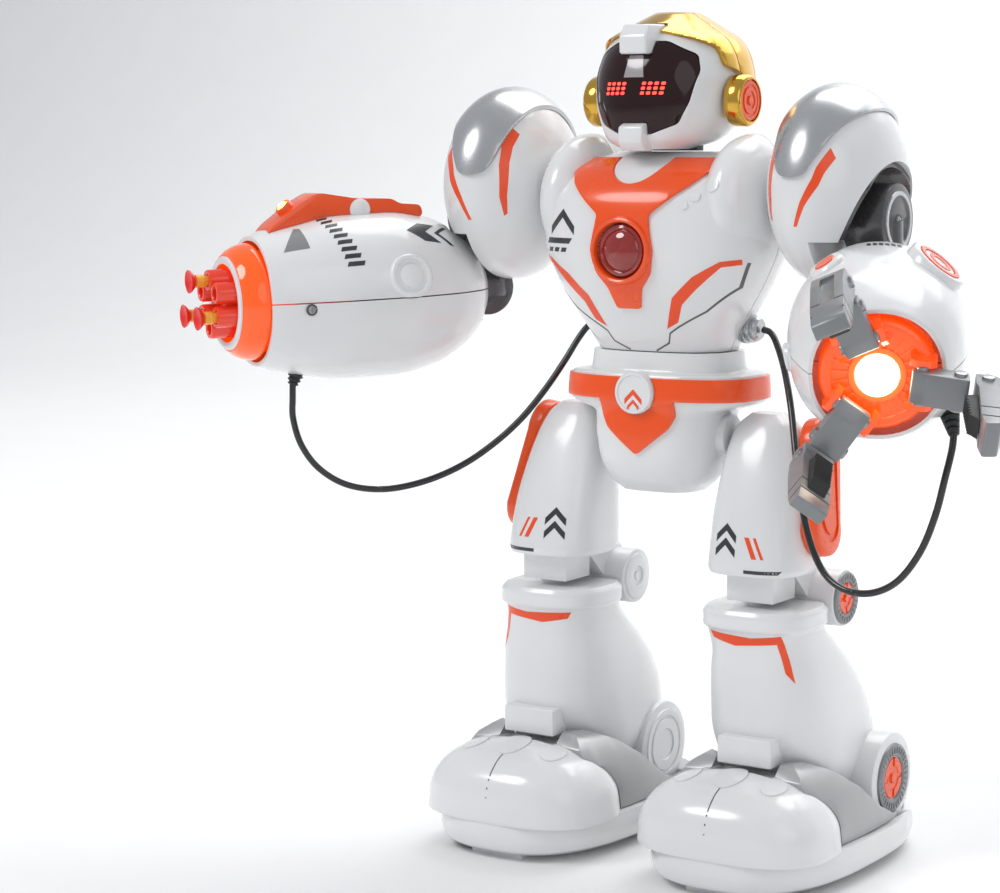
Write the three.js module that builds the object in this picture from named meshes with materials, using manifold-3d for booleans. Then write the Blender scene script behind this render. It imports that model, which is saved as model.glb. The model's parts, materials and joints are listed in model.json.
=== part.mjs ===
// A free-standing toy robot that walks on wheeled feet. Its right forearm is a dart launcher and its left
// forearm ends in a claw with three fingers. Millimetres, +Z up, the robot faces -Y and its left side is +X.
import * as THREE from "three";
import { mergeVertices } from "three/addons/utils/BufferGeometryUtils.js";
import { LoftGeometry } from "three/addons/geometries/LoftGeometry.js";
import Module from "manifold-3d";

const wasm = await Module();
wasm.setup();

// ---- driving dimensions -------------------------------------------------------------------------------
const GAP = 0.4; // clearance between neighbouring pieces
const WALL = 2.8; // thickness of the moulded shells
const RING_POINTS = 12; // points in one cross section
const FAR = 400; // a cutting box is this large

const HEAD_TOP = 397.3;
const LENS = { z: 290.5, radius: 12, front: -47, back: -35.5, hole: 13.6 };
const HATCH = { halfWidth: 24, y: 30, low: 262, high: 312 };
const BOARD = { x: [-26, 26], y: [-12, -10], z: [258, 300] };
const BATTERY = { x: [-21, 21], y: [3, 26], z: [268, 308] };
const SWITCH = { x: [12, 18], y: [30.5, 34.5], z: [252, 256] };
const WIRING_HOLE = { radius: 9, low: 236, high: 250 };
const DOME = { x: 44, z: 312, rx: 17.4, ry: 37, rz: 32 };
const YOKE_RAISE = 1.6;
const BADGE = { z: 224, radius: 10, front: -35 };
const NECK = { y: 5, radius: 13, from: 335.9, to: 350 };
const EAR = { z: 359, radius: 12, inner: 33.9, outer: 42.5 };
const SHOULDER = { x: 108, z: 305, drumRadius: 17, slotRadius: 31, slotZ: 300, slotX: 91 };
const PAULDRON = { x: 88, z: 319, rx: 29.5, ry: 44, rz: 46, inner: 61.9 };
const ELBOW_Z = 268.5;
const ARM_TUBE = { top: 10.5, bottom: 13.5 };
const ELBOW = { radius: 13.5, halfWidth: 10 };
const ELBOW_SLOT = { halfWidth: 15.5, from: -23, floor: -15.5 };
const LAUNCHER = { splay: -31, pitch: 2, length: 121, lip: 135, barrels: 143 };
const CLAW = { splay: 25, pitch: 14.5, length: 98 };
const BARREL = { count: 6, circle: 11.3, radius: 5.1, bore: 3.1 };
const DART = { shaft: 2.4, cup: 5.6, tail: 96, tip: 152 };
const LOADED_BARRELS = [1, 3, 5];
const FINGER = { angles: [114, 234, 354], halfWidth: 7.2 };
const HIP = { z: 203, x: 37.4 };
const THIGH_X = 55;
const KNEE = { y: 27, z: 126, radius: 13.5, inner: 33, outer: 81 };
const ANKLE = { y: 44, z: 38, radius: 22, inner: 26, outer: 99 };
const FOOT_X = 59;
const WHEEL = { x: 80, y: -46, radius: 11, halfWidth: 7, lift: 0.4 };
const SOCKET = { y: 8, z: 253, from: 35, to: 44.6, tip: 4.6, root: 7 };
const CABLE_RADIUS = 1.6;

// ---- materials ----------------------------------------------------------------------------------------
const finish = (color, roughness, metalness = 0) =>
  new THREE.MeshStandardMaterial({ color, roughness, metalness });
const WHITE = () => finish(0xf1f1f0, 0.25);
const ORANGE = () => finish(0xf4420a, 0.3);
const AMBER = () => finish(0xff7a14, 0.15);
const SILVER = () => finish(0xb9bcc0, 0.3, 0.8);
const GOLD = () => finish(0xb98d1c, 0.15, 0.95);
const GUNMETAL = () => finish(0x3c3a3b, 0.3, 0.6);
const GREY = () => finish(0x8d8f92, 0.4, 0.2);
const BLACK = () => finish(0x141414, 0.5);
const GLOSS_BLACK = () => finish(0x080406, 0.05);
const DARK_RED = () => finish(0x7c0a08, 0.08);
const BOARD_GREEN = () => finish(0x1f6b3a, 0.5);
const LAMP = () => finish(0xfff2c8, 0.2);

// ---- solids -------------------------------------------------------------------------------------------
function solid(geometry) {
  const bare = geometry.index ? geometry.toNonIndexed() : geometry.clone();
  bare.deleteAttribute("normal");
  bare.deleteAttribute("uv");
  const merged = mergeVertices(bare, 1e-3);
  const made = new wasm.Manifold(
    new wasm.Mesh({
      numProp: 3,
      vertProperties: merged.attributes.position.array,
      triVerts: new Uint32Array(merged.index.array),
    }),
  );
  return made;
}

function geometryOf(body) {
  const mesh = body.getMesh();
  const geometry = new THREE.BufferGeometry();
  geometry.setAttribute("position", new THREE.BufferAttribute(mesh.vertProperties, 3));
  geometry.setIndex(new THREE.BufferAttribute(mesh.triVerts, 1));
  return geometry;
}

const joined = (bodies) => bodies.reduce((sum, body) => sum.add(body));
const without = (body, ...cuts) => cuts.reduce((left, cut) => left.subtract(cut), body);

function box(x, y, z) {
  const size = [x, y, z].map(([low, high]) => high - low);
  const middle = [x, y, z].map(([low, high]) => (low + high) / 2);
  return solid(new THREE.BoxGeometry(...size).translate(...middle));
}

// A round bar along X between two distances from the middle.
function barX(from, to, y, z, radius, sides = 14) {
  const bar = new THREE.CylinderGeometry(radius, radius, to - from, sides);
  return solid(bar.rotateZ(Math.PI / 2).translate((from + to) / 2, y, z));
}

// A round bar or cone along Z.
function barZ(x, y, from, to, lowRadius, highRadius = lowRadius, sides = 14) {
  const bar = new THREE.CylinderGeometry(highRadius, lowRadius, to - from, sides);
  return solid(bar.rotateX(Math.PI / 2).translate(x, y, (from + to) / 2));
}

// One superellipse cross section: half width w, half depth d, roundness p (2 is an ellipse).
function ring(w, d, x, y, z, p) {
  const points = [];
  for (let i = 0; i < RING_POINTS; i += 1) {
    const angle = ((i + 0.5) / RING_POINTS) * 2 * Math.PI;
    const cos = Math.cos(angle);
    const sin = Math.sin(angle);
    const along = Math.sign(cos) * Math.abs(cos) ** (2 / p);
    const across = Math.sign(sin) * Math.abs(sin) ** (2 / p);
    points.push(new THREE.Vector3(x + w * along, y + d * across, z));
  }
  return points;
}

// A closed loft up Z through rows of [z, half width, half depth, y, x], grown outwards by the given amount.
function loft(rows, grow = 0, p = 2.4) {
  const last = rows.length - 1;
  const sections = rows.map(([z, w, d, y = 0, x = 0], i) => {
    const shift = (i === 0 ? -grow : 0) + (i === last ? grow : 0);
    return ring(w + grow, d + grow, x, y, z + shift, p);
  });
  return solid(new LoftGeometry(sections, { capStart: true, capEnd: true }));
}

// An outline of [a, b] points in the plane square to X, with a along Y and b along Z.
function slabX(outline, from, to) {
  const shape = new THREE.Shape(outline.map(([a, b]) => new THREE.Vector2(a, b)));
  const slab = new THREE.ExtrudeGeometry(shape, { depth: to - from, bevelEnabled: false, curveSegments: 6 });
  slab.applyMatrix4(
    new THREE.Matrix4().makeBasis(
      new THREE.Vector3(0, 1, 0),
      new THREE.Vector3(0, 0, 1),
      new THREE.Vector3(1, 0, 0),
    ),
  );
  return solid(slab.translate(from, 0, 0));
}

// An outline of [x, z] points in the plane square to Y.
function slabY(outline, from, to) {
  const shape = new THREE.Shape(outline.map(([a, b]) => new THREE.Vector2(a, b)));
  const slab = new THREE.ExtrudeGeometry(shape, { depth: to - from, bevelEnabled: false });
  return solid(slab.rotateX(Math.PI / 2).translate(0, to, 0));
}

// A turned piece about the forearm's own axis: rows of [distance along the arm, radius].
function turned(profile, sides = 16) {
  const points = profile.map(([s, r]) => new THREE.Vector2(r, s));
  const lathe = new THREE.LatheGeometry(points, sides);
  return solid(lathe.rotateX(Math.PI));
}

const robot = new THREE.Group();

function place(parent, name, body, material) {
  const mesh = new THREE.Mesh(body.isBufferGeometry ? body : geometryOf(body), material);
  mesh.name = name;
  parent.add(mesh);
  return mesh;
}

const mirrored = (body, side) => (side > 0 ? body : body.mirror([1, 0, 0]));
const SIDES = [
  ["left", 1],
  ["right", -1],
];

// ---- torso --------------------------------------------------------------------------------------------
const CHEST = [
  [242.9, 33, 24, 0],
  [250, 36, 28, -1],
  [262, 43, 34, -2],
  [276, 51, 39, -3],
  [293, 57.5, 42.5, -3],
  [312, 58.5, 42, -1],
  [326, 50, 36, 3],
  [332, 40, 29, 6],
  [335.5, 28, 21, 8],
];
const CHEST_SQUARENESS = 2.7;

function ellipsoid(x, y, z, rx, ry, rz) {
  return solid(new THREE.SphereGeometry(1, 14, 8).scale(rx, ry, rz).translate(x, y, z));
}

// The chest block with the two domes that its pauldrons sit against.
function chestBody(grow) {
  const { x, z, rx, ry, rz } = DOME;
  const domes = [1, -1].map((side) => ellipsoid(side * x, 0, z, rx + grow, ry + grow, rz + grow));
  return joined([loft(CHEST, grow, CHEST_SQUARENESS), ...domes]);
}

// The battery hatch's opening, drawn in from its edges by the given gap.
function hatch(gap) {
  const { halfWidth, y, low, high } = HATCH;
  return box([gap - halfWidth, halfWidth - gap], [y, FAR], [low + gap, high - gap]);
}

function torso() {
  const outer = chestBody(0);
  const hollow = loft(CHEST, -WALL, CHEST_SQUARENESS);
  const sockets = SIDES.map(([, side]) => mirrored(cableSocket(GAP), side));
  const lensHole = discY(LENS.z, LENS.hole, -FAR, 0);
  const shell = without(outer, hollow, ...sockets);
  const front = box([-FAR, FAR], [-FAR, -GAP / 2], [0, FAR]);
  const rear = box([-FAR, FAR], [GAP / 2, FAR], [0, FAR]);
  const wiring = barZ(0, 0, WIRING_HOLE.low, WIRING_HOLE.high, WIRING_HOLE.radius);
  place(robot, "chest_front_shell", without(shell.intersect(front), lensHole, wiring), WHITE());
  place(robot, "chest_rear_shell", without(shell.intersect(rear), hatch(0), wiring), WHITE());
  const skin = without(loft(CHEST, 0, CHEST_SQUARENESS), loft(CHEST, -WALL + GAP, CHEST_SQUARENESS));
  place(robot, "battery_cover", skin.intersect(hatch(GAP)), WHITE());
  place(robot, "chest_yoke", chestYoke(), ORANGE());
  place(robot, "chest_lens", chestLens(), DARK_RED());
  place(robot, "main_board", box(BOARD.x, BOARD.y, BOARD.z), BOARD_GREEN());
  place(robot, "battery_pack", box(BATTERY.x, BATTERY.y, BATTERY.z), BLACK());
  place(robot, "neck_post", barZ(0, NECK.y, NECK.from, NECK.to, NECK.radius), WHITE());
  place(robot, "power_switch", box(SWITCH.x, SWITCH.y, SWITCH.z), BLACK());
  for (const [name, side] of SIDES) {
    place(robot, `${name}_cable_socket`, mirrored(cableSocket(0), side), SILVER());
    place(robot, `${name}_pauldron`, mirrored(pauldron(), side), WHITE());
    place(robot, `${name}_shoulder_cap`, mirrored(shoulderCap(), side), SILVER());
  }
}

// A round disc along Y at a given height, in the robot's middle plane.
function discY(z, radius, from, to) {
  const disc = new THREE.CylinderGeometry(radius, radius, to - from, 16);
  return solid(disc.translate(0, (from + to) / 2, z));
}

function cableSocket(grow) {
  const cone = new THREE.CylinderGeometry(SOCKET.tip + grow, SOCKET.root + grow, SOCKET.to - SOCKET.from, 12);
  cone.rotateZ(-Math.PI / 2);
  return solid(cone.translate((SOCKET.from + SOCKET.to) / 2, SOCKET.y, SOCKET.z));
}

// The raised Y on the chest: two arms over the shoulders, a ring about the lens and a tail.
const YOKE = [
  [6, 263.5],
  [8.7, 273],
  [14.2, 280],
  [16.3, 290.5],
  [14.1, 302],
  [13.5, 307],
  [31, 321],
  [37, 328],
  [38, 338],
];

function chestYoke() {
  const left = [...YOKE].reverse().map(([x, z]) => [-x, z]);
  const outline = slabY([...YOKE, ...left], -FAR, -1);
  const raised = without(loft(CHEST, YOKE_RAISE, CHEST_SQUARENESS), chestBody(GAP));
  const lensHole = discY(LENS.z, LENS.radius + 0.6, -FAR, 0);
  const neckline = discY(336, 15, -FAR, -1);
  const aboveChest = box([-FAR, FAR], [-FAR, FAR], [333, FAR]);
  return without(raised.intersect(outline), lensHole, neckline, aboveChest);
}

// A short cone with a low dome on its face.
function chestLens() {
  const { z, radius, front, back } = LENS;
  const barrel = new THREE.CylinderGeometry(radius, radius - 2, back - front, 16);
  const dome = ellipsoid(0, front + 0.5, z, radius - 2.5, 4, radius - 2.5);
  return solid(barrel.translate(0, (front + back) / 2, z)).add(dome);
}

// A pauldron is a domed shell over the shoulder hub, open where the arm comes out and swings.
const pauldronBody = (grow) =>
  ellipsoid(PAULDRON.x, 0, PAULDRON.z, PAULDRON.rx + grow, PAULDRON.ry + grow, PAULDRON.rz + grow);

function shoulderSlot() {
  const { slotX, slotRadius, slotZ } = SHOULDER;
  const arch = barX(slotX, FAR, 0, slotZ, slotRadius);
  const below = box([slotX, FAR], [-FAR, FAR], [200, slotZ - 4]);
  const opening = box([slotX, FAR], [-slotRadius, slotRadius], [200, slotZ]);
  return joined([arch, below, opening]);
}

function pauldron() {
  const inner = box([-FAR, PAULDRON.inner], [-FAR, FAR], [0, FAR]);
  return without(pauldronBody(0), inner, shoulderSlot());
}

function shoulderCap() {
  const saddle = box([70, 97], [-FAR, FAR], [327, FAR]);
  const crown = box([70, FAR], [-FAR, FAR], [352, FAR]);
  const skin = without(pauldronBody(1.8), pauldronBody(GAP));
  return skin.intersect(saddle.add(crown));
}

// ---- head ---------------------------------------------------------------------------------------------
const HELMET = [
  [336.6, 15, 15, -15],
  [341, 24, 27, -7],
  [348, 29, 33, -2],
  [358, 32.5, 37, 1],
  [368, 33, 38, 2],
  [378, 31, 36.5, 3],
  [387, 26, 32, 4],
  [393.5, 17, 22, 5],
  [HEAD_TOP, 7, 9, 6],
];
const VISOR = [
  [-14, 344],
  [14, 344],
  [22, 349],
  [27.5, 372],
  [24, 381],
  [13, 386],
  [-13, 386],
  [-24, 381],
  [-27.5, 372],
  [-22, 349],
];

// An outline moved outwards from its own middle by about the given amount.
function widened(outline, grow) {
  const x = outline.reduce((sum, point) => sum + point[0], 0) / outline.length;
  const z = outline.reduce((sum, point) => sum + point[1], 0) / outline.length;
  return outline.map(([a, b]) => {
    const far = Math.hypot(a - x, b - z);
    return [a + ((a - x) / far) * grow, b + ((b - z) / far) * grow];
  });
}

function head() {
  const brow = (grow) => box([-7.5 - grow, 7.5 + grow], [-37 - grow, -18], [379 - grow, 394 + grow]);
  const chin = (grow) => box([-6.5 - grow, 6.5 + grow], [-39 - grow, -27], [335.5, 348 + grow]);
  const skull = without(loft(HELMET), loft(HELMET, -WALL));
  const collar = barZ(0, NECK.y, 330, 346, NECK.radius + 2.5);
  const opening = slabY(widened(VISOR, 2 * GAP), -FAR, -12);
  const helmet = joined([without(skull, collar, opening), brow(0), chin(0)]);
  place(robot, "helmet_shell", helmet, WHITE());
  const pane = without(loft(HELMET, 0.5), loft(HELMET, -2.2));
  const visor = pane.intersect(slabY(VISOR, -FAR, -12));
  place(robot, "visor", without(visor, brow(GAP), chin(GAP)), GLOSS_BLACK());
  place(robot, "eye_led_board", box([-17, 17], [-25, -23], [357, 372]), BOARD_GREEN());
  place(robot, "helmet_crown", without(helmetCrown(), brow(GAP)), GOLD());
  for (const [name, side] of SIDES) {
    const ear = barX(EAR.inner, EAR.outer, 0, EAR.z, EAR.radius);
    place(robot, `${name}_ear_disc`, mirrored(ear, side), GOLD());
  }
}

// The crown wraps the top and back of the helmet, and its front edge falls from the brow to the ears.
function helmetCrown() {
  const band = without(loft(HELMET, 2.7), loft(HELMET, GAP));
  const side = [
    [-24, FAR],
    [-24, 389],
    [-9, 383],
    [-8, 375],
    [0, 373],
    [14, 368],
    [22, 352],
    [FAR, 350],
    [FAR, FAR],
  ];
  return band.intersect(slabX(side, -FAR, FAR));
}

// ---- arms ---------------------------------------------------------------------------------------------
function upperArm() {
  const { x, z, drumRadius } = SHOULDER;
  const drum = barX(x - 11, x + 9, 0, z, drumRadius);
  const tube = barZ(x, 0, ELBOW_Z - 4, z, ARM_TUBE.bottom, ARM_TUBE.top);
  return drum.add(tube);
}

// The knuckle at the lower end lies across the forearm, so it is turned with the forearm's splay.
function elbowKnuckle(splay) {
  const bar = new THREE.CylinderGeometry(ELBOW.radius, ELBOW.radius, 2 * ELBOW.halfWidth, 14);
  bar.rotateZ(Math.PI / 2);
  bar.rotateZ(THREE.MathUtils.degToRad(splay));
  return bar;
}

function addUpperArm(name, side, splay) {
  const knuckle = solid(elbowKnuckle(splay).translate(side * SHOULDER.x, 0, ELBOW_Z));
  place(robot, `${name}_upper_arm`, mirrored(upperArm(), side).add(knuckle), GUNMETAL());
}

// A forearm's group stands at the elbow, and the arm runs forward along the group's own -Y.
function forearm(side, { splay, pitch }) {
  const swing = new THREE.Group();
  const tilt = new THREE.Group();
  swing.position.set(side * SHOULDER.x, 0, ELBOW_Z);
  swing.rotation.z = THREE.MathUtils.degToRad(splay);
  tilt.rotation.x = THREE.MathUtils.degToRad(pitch);
  swing.add(tilt);
  robot.add(swing);
  return tilt;
}

// A loft up Z laid forward along -Y.
const laidForward = (body) => body.rotate([90, 0, 0]);

const LAUNCHER_SHELL = [
  [2, 15, 17],
  [8, 22, 24.5],
  [18, 29.5, 32.5],
  [32, 35.5, 38.5],
  [54, 38.5, 41],
  [80, 37.5, 40],
  [100, 34.5, 36.5],
  [114, 31.5, 33.5],
  [LAUNCHER.length, 29, 31],
];
const ARM_SQUARENESS = 2.15;

const CLAW_SHELL = [
  [2, 16, 19],
  [8, 23, 26.5],
  [18, 30, 33],
  [32, 36, 37.5],
  [52, 39, 39],
  [74, 37, 37],
  [89, 32.5, 32.5],
  [CLAW.length, 28.5, 28.5],
];

// Two moulded halves that meet on the forearm's level seam, open in front, with a slot for the elbow.
function armHalves(rows, extras) {
  const opened = rows.map((row) => [...row]);
  const outer = laidForward(loft(rows, 0, ARM_SQUARENESS));
  opened[opened.length - 1][0] += 2 * WALL + 1;
  const hollow = laidForward(loft(opened, -WALL, ARM_SQUARENESS));
  const { halfWidth, from, floor } = ELBOW_SLOT;
  const slot = box([-halfWidth, halfWidth], [from, FAR], [floor, FAR]);
  const shell = without(joined([outer, ...extras]), hollow, slot);
  const upper = shell.intersect(box([-FAR, FAR], [-FAR, FAR], [GAP / 2, FAR]));
  const lower = shell.intersect(box([-FAR, FAR], [-FAR, FAR], [-FAR, -GAP / 2]));
  return { outer, upper, lower };
}

// A round boss that stands on a forearm at a given distance and angle about it.
function boss(s, angle, radius, height, base) {
  const bar = new THREE.CylinderGeometry(radius * 0.9, radius, height, 12);
  bar.rotateX(Math.PI / 2).translate(0, 0, base + height / 2);
  bar.rotateY(THREE.MathUtils.degToRad(90 - angle)).translate(0, -s, 0);
  return solid(bar);
}

function launcher() {
  const arm = forearm(-1, LAUNCHER);
  const gland = boss(100, 270, 4.5, 7, 31);
  const knob = boss(54, 15, 11, 5, 35.5);
  const { outer, upper, lower } = armHalves(LAUNCHER_SHELL, [gland, knob]);
  place(arm, "launcher_upper_shell", upper, WHITE());
  place(arm, "launcher_lower_shell", lower, WHITE());
  place(arm, "launcher_fin", launcherFin(outer), ORANGE());
  place(arm, "muzzle_ring", muzzleRing(), AMBER());
  place(arm, "barrel_cluster", barrelCluster(), ORANGE());
  LOADED_BARRELS.forEach((index, i) => place(arm, `dart_${i + 1}`, dart(index), AMBER()));
}

function launcherFin(outer) {
  const profile = [
    [-34, 37],
    [-35, 42.5],
    [-46, 43.5],
    [-50, 46],
    [-68, 46.8],
    [-88, 50.5],
    [-97, 46],
    [-112, 35.5],
    [-118, 28],
    [-104, 24],
    [-70, 32],
  ];
  const grown = laidForward(loft(LAUNCHER_SHELL, GAP, ARM_SQUARENESS));
  const blade = slabX(profile, -9, 9);
  return without(blade, grown, outer);
}

function muzzleRing() {
  return turned([
    [108, 18.8],
    [108, 24.5],
    [LAUNCHER.length + GAP, 24.5],
    [LAUNCHER.length + GAP, 28],
    [129, 26],
    [LAUNCHER.lip - 1, 22.6],
    [LAUNCHER.lip, 21.5],
    [LAUNCHER.lip, 18.8],
    [108, 18.8],
  ]);
}

function barrelAxis(index) {
  const angle = ((index + 0.5) / BARREL.count) * 2 * Math.PI;
  return [BARREL.circle * Math.cos(angle), BARREL.circle * Math.sin(angle)];
}

function barrelCluster() {
  const bodies = [laidForward(barZ(0, 0, 86, 90, 17.6))];
  bodies.push(laidForward(barZ(0, 0, 90, 136, 7.2, 7.2, 12)));
  const bores = [];
  for (let i = 0; i < BARREL.count; i += 1) {
    const [x, z] = barrelAxis(i);
    bodies.push(laidForward(barZ(x, z, 89, LAUNCHER.barrels, BARREL.radius, BARREL.radius, 10)));
    bores.push(laidForward(barZ(x, z, 93, 150, BARREL.bore, BARREL.bore, 8)));
  }
  return without(joined(bodies), ...bores);
}

function dart(index) {
  const [x, z] = barrelAxis(index);
  const { shaft, cup, tail, tip } = DART;
  const stem = turned(
    [
      [tail, 0],
      [tail, shaft],
      [tip - 6, shaft],
      [tip - 5, 3.2],
      [tip - 2, 3.4],
      [tip, cup],
      [tip - 0.4, 0],
    ],
    8,
  );
  return stem.translate([x, 0, z]);
}

function claw() {
  const arm = forearm(1, CLAW);
  const target = boss(46, 52, 14, 9, 34);
  const sideKnob = boss(52, 124, 9, 7, 34.5);
  const lowKnob = boss(52, 193, 7, 6.5, 34.5);
  const gland = boss(72, 320, 4.5, 7, 33);
  const { upper, lower } = armHalves(CLAW_SHELL, [target, sideKnob, lowKnob, gland]);
  place(arm, "claw_upper_shell", upper, WHITE());
  place(arm, "claw_lower_shell", lower, WHITE());
  place(arm, "palm_hub", palmHub(), AMBER());
  place(arm, "palm_lamp", turned([[98, 0], [98, 9], [102, 8], [104.5, 4.5], [105.5, 0]], 18), LAMP());
  FINGER.angles.forEach((angle, i) => finger(arm, `finger_${i + 1}`, angle));
}

function palmHub() {
  const disc = turned([[84, 10], [84, 24.6], [96, 24.6], [98.5, 22], [98.5, 9.6], [86, 9.6]].concat([[84, 10]]));
  const ears = FINGER.angles.map((angle) =>
    joined([
      atFinger(box([-11, -8], [-106, -94], [12.5, 23.5]), angle),
      atFinger(box([8, 11], [-106, -94], [12.5, 23.5]), angle),
    ]),
  );
  return joined([disc, ...ears]);
}

// A finger's pieces are drawn with the finger standing up, then turned about the arm to its place.
const atFinger = (body, angle) => body.rotate([0, 90 - angle, 0]);

const PROXIMAL = [
  [-101.8, 14],
  [-108, 13.5],
  [-111, 20],
  [-113, 37.2],
  [-102.5, 37.2],
  [-101.2, 26],
];
const DISTAL = [
  [-103, 39.5],
  [-103, 47],
  [-107, 51],
  [-120, 51.5],
  [-146, 50],
  [-158, 48],
  [-160, 42],
  [-150, 40.5],
  [-118, 40.5],
  [-115, 39.5],
];
const PAD = [
  [-120, 39.9],
  [-149, 39.9],
  [-140, 36],
  [-126, 34.5],
];

function finger(arm, name, angle) {
  const w = FINGER.halfWidth;
  place(arm, `${name}_proximal`, atFinger(slabX(PROXIMAL, -w, w), angle), GREY());
  place(arm, `${name}_distal`, atFinger(slabX(DISTAL, -w, w), angle), GREY());
  place(arm, `${name}_pad`, atFinger(slabX(PAD, -w + 3, w - 3), angle), BLACK());
}

// ---- pelvis and legs ----------------------------------------------------------------------------------
const PELVIS = [
  [176, 19, 16, -3],
  [182, 25, 22, -3],
  [192, 29, 26.5, -3],
  [204, 31, 28.5, -2],
  [213, 32, 29, -1],
  [218, 45, 30, 0],
  [220, 47, 31, 0],
  [232, 46, 30, 0],
  [233.5, 37, 26.5, 0],
  [242.5, 35.5, 25, 0],
];
const BELT = { low: 220.5, high: 231 };
const BELT_PLATE = [
  [-20, 226],
  [-20, 212],
  [0, 195],
  [20, 212],
  [20, 226],
];

function pelvis() {
  const hips = [1, -1].map((side) => mirrored(barX(20, HIP.x - 2.8, 0, HIP.z, 10), side));
  const badge = discY(BADGE.z, BADGE.radius, BADGE.front, -20);
  place(robot, "pelvis_shell", joined([loft(PELVIS, 0, 2.9), ...hips, badge]), WHITE());
  const skin = without(loft(PELVIS, 1.5, 2.9), loft(PELVIS, GAP, 2.9));
  const band = box([-FAR, FAR], [-FAR, FAR], [BELT.low, BELT.high]);
  const plate = slabY(BELT_PLATE, -FAR, 0);
  const badgeHole = discY(BADGE.z, BADGE.radius + GAP, -FAR, -20);
  place(robot, "belt_trim", without(skin.intersect(band.add(plate)), badgeHole), ORANGE());
}

const THIGH = [
  [142, 22.5, 24, -6, THIGH_X],
  [145, 23.5, 25, -5.5, THIGH_X],
  [165, 22.5, 23.5, -3.5, 54.5],
  [185, 20, 20, -0.5, 53.5],
  [200, 17, 16.5, 2, 52.5],
  [209, 13.5, 12.5, 3, 52],
  [214.5, 7.5, 7, 3, 52],
];
const THIGH_SQUARENESS = 3;
const THIGH_PANEL = { low: [1, 164], high: [11, 200], halfWidth: 14, from: 76, to: 84.5, lean: 9 };

// The thigh hangs from the hip and ends below in the knee's drum, which a bracket carries behind the shin.
function thigh() {
  const { y, z, radius, inner, outer } = KNEE;
  const drum = barX(inner, outer, y, z, radius);
  const bracket = slabX([[-4, 143], [y, z - 11], [y + 8, z + 10], [8, 160]], 44, 68);
  const block = box([44, 68], [-22, 0], [z + 3, 143]);
  return joined([loft(THIGH, 0, THIGH_SQUARENESS), drum, bracket, block]);
}

// A long panel with round ends that lies against the outside of the thigh and leans in with it.
function thighPanel() {
  const { low, high, halfWidth, from, to, lean } = THIGH_PANEL;
  const ends = [low, high].map(([y, z]) => barX(from, to, y, z, halfWidth, 18));
  const middle = [
    [low[0] - halfWidth, low[1]],
    [low[0] + halfWidth, low[1]],
    [high[0] + halfWidth, high[1]],
    [high[0] - halfWidth, high[1]],
  ];
  const upright = joined([...ends, slabX(middle, from, to)]);
  const leaning = upright.translate([-to, 0, -low[1]]).rotate([0, -lean, 0]).translate([to, 0, low[1]]);
  return without(leaning, loft(THIGH, GAP, THIGH_SQUARENESS));
}

const SHIN = [
  [36, 26, 32, 30, FOOT_X],
  [42, 29, 38, 27, FOOT_X],
  [52, 31, 43, 24, FOOT_X],
  [66, 31, 45, 19, 58.5],
  [80, 30, 43, 15, 58],
  [95, 28, 37, 8, 57.5],
  [106, 25.5, 30, 1, 57],
  [115, 25, 25.5, -5, 56],
  [118, 27, 27, -6, 56],
  [123, 27, 27, -6, 56],
  [126, 25, 25, -6.5, 56],
];
const SHIN_SQUARENESS = 2.8;
const STRAP = { x: [45, 73], y: [-32, -12], z: [54, 67] };

function ankleDrum(grow) {
  const { inner, outer, y, z, radius } = ANKLE;
  return barX(inner - grow, outer + grow, y, z, radius + grow, 18);
}

// The shin is hollowed above for the knee's drum and carries the ankle's drum below.
function shin() {
  const kneeRoom = barX(0, FAR, KNEE.y, KNEE.z, KNEE.radius + 1.6);
  const strap = box(STRAP.x, STRAP.y, STRAP.z);
  return without(joined([loft(SHIN, 0, SHIN_SQUARENESS), ankleDrum(0), strap]), kneeRoom);
}

const SOLE = [
  [3.2, 43, 77, 11, FOOT_X],
  [6, 47, 81, 11, FOOT_X],
  [12, 48.5, 82.5, 11, FOOT_X],
  [19, 47.5, 81.5, 11, FOOT_X],
];
const TOE = [
  [18, 47, 35, -35.5, FOOT_X],
  [29, 46, 34, -36, FOOT_X],
  [39, 41, 29.5, -37, FOOT_X],
  [46, 33, 22.5, -37, FOOT_X],
  [50.5, 21, 14, -34, FOOT_X],
  [52.5, 9, 6, -32, FOOT_X],
];
const FOOT_SQUARENESS = 2.7;
const DECK_PROFILE = [
  [-34, 19.6],
  [-34, 50],
  [-27, 56],
  [-18, 56.5],
  [-4, 50],
  [10, 40],
  [24, 29],
  [40, 22],
  [87, 20.6],
  [87, 19.6],
];
const DECK_PLAN = [
  [19.6, 44, 78, 11, FOOT_X],
  [28, 44, 78, 11, FOOT_X],
  [42, 40, 76, 10, FOOT_X],
  [52, 32, 68, 8, FOOT_X],
  [58, 22, 58, 6, FOOT_X],
];
const ANKLE_ROOM = 2.4;
const PADS = [
  { x: [45, 73], y: [-60, -50] },
  { x: [37, 81], y: [60, 78] },
];

function wheelRoom(grow) {
  const { x, y, radius, halfWidth, lift } = WHEEL;
  return barX(x - halfWidth - grow, x + halfWidth + grow, y, radius + lift, radius + grow);
}

// The room that the shin, its ankle drum and its strap need while the foot tilts.
function shinRoom() {
  const { x, y, z } = STRAP;
  const strapRoom = box([x[0] - 2.5, x[1] + 2.5], [y[0] - 4, y[1]], [z[0] - 4, 80]);
  return joined([loft(SHIN, 4.2, SHIN_SQUARENESS), ankleDrum(ANKLE_ROOM), strapRoom]);
}

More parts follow.
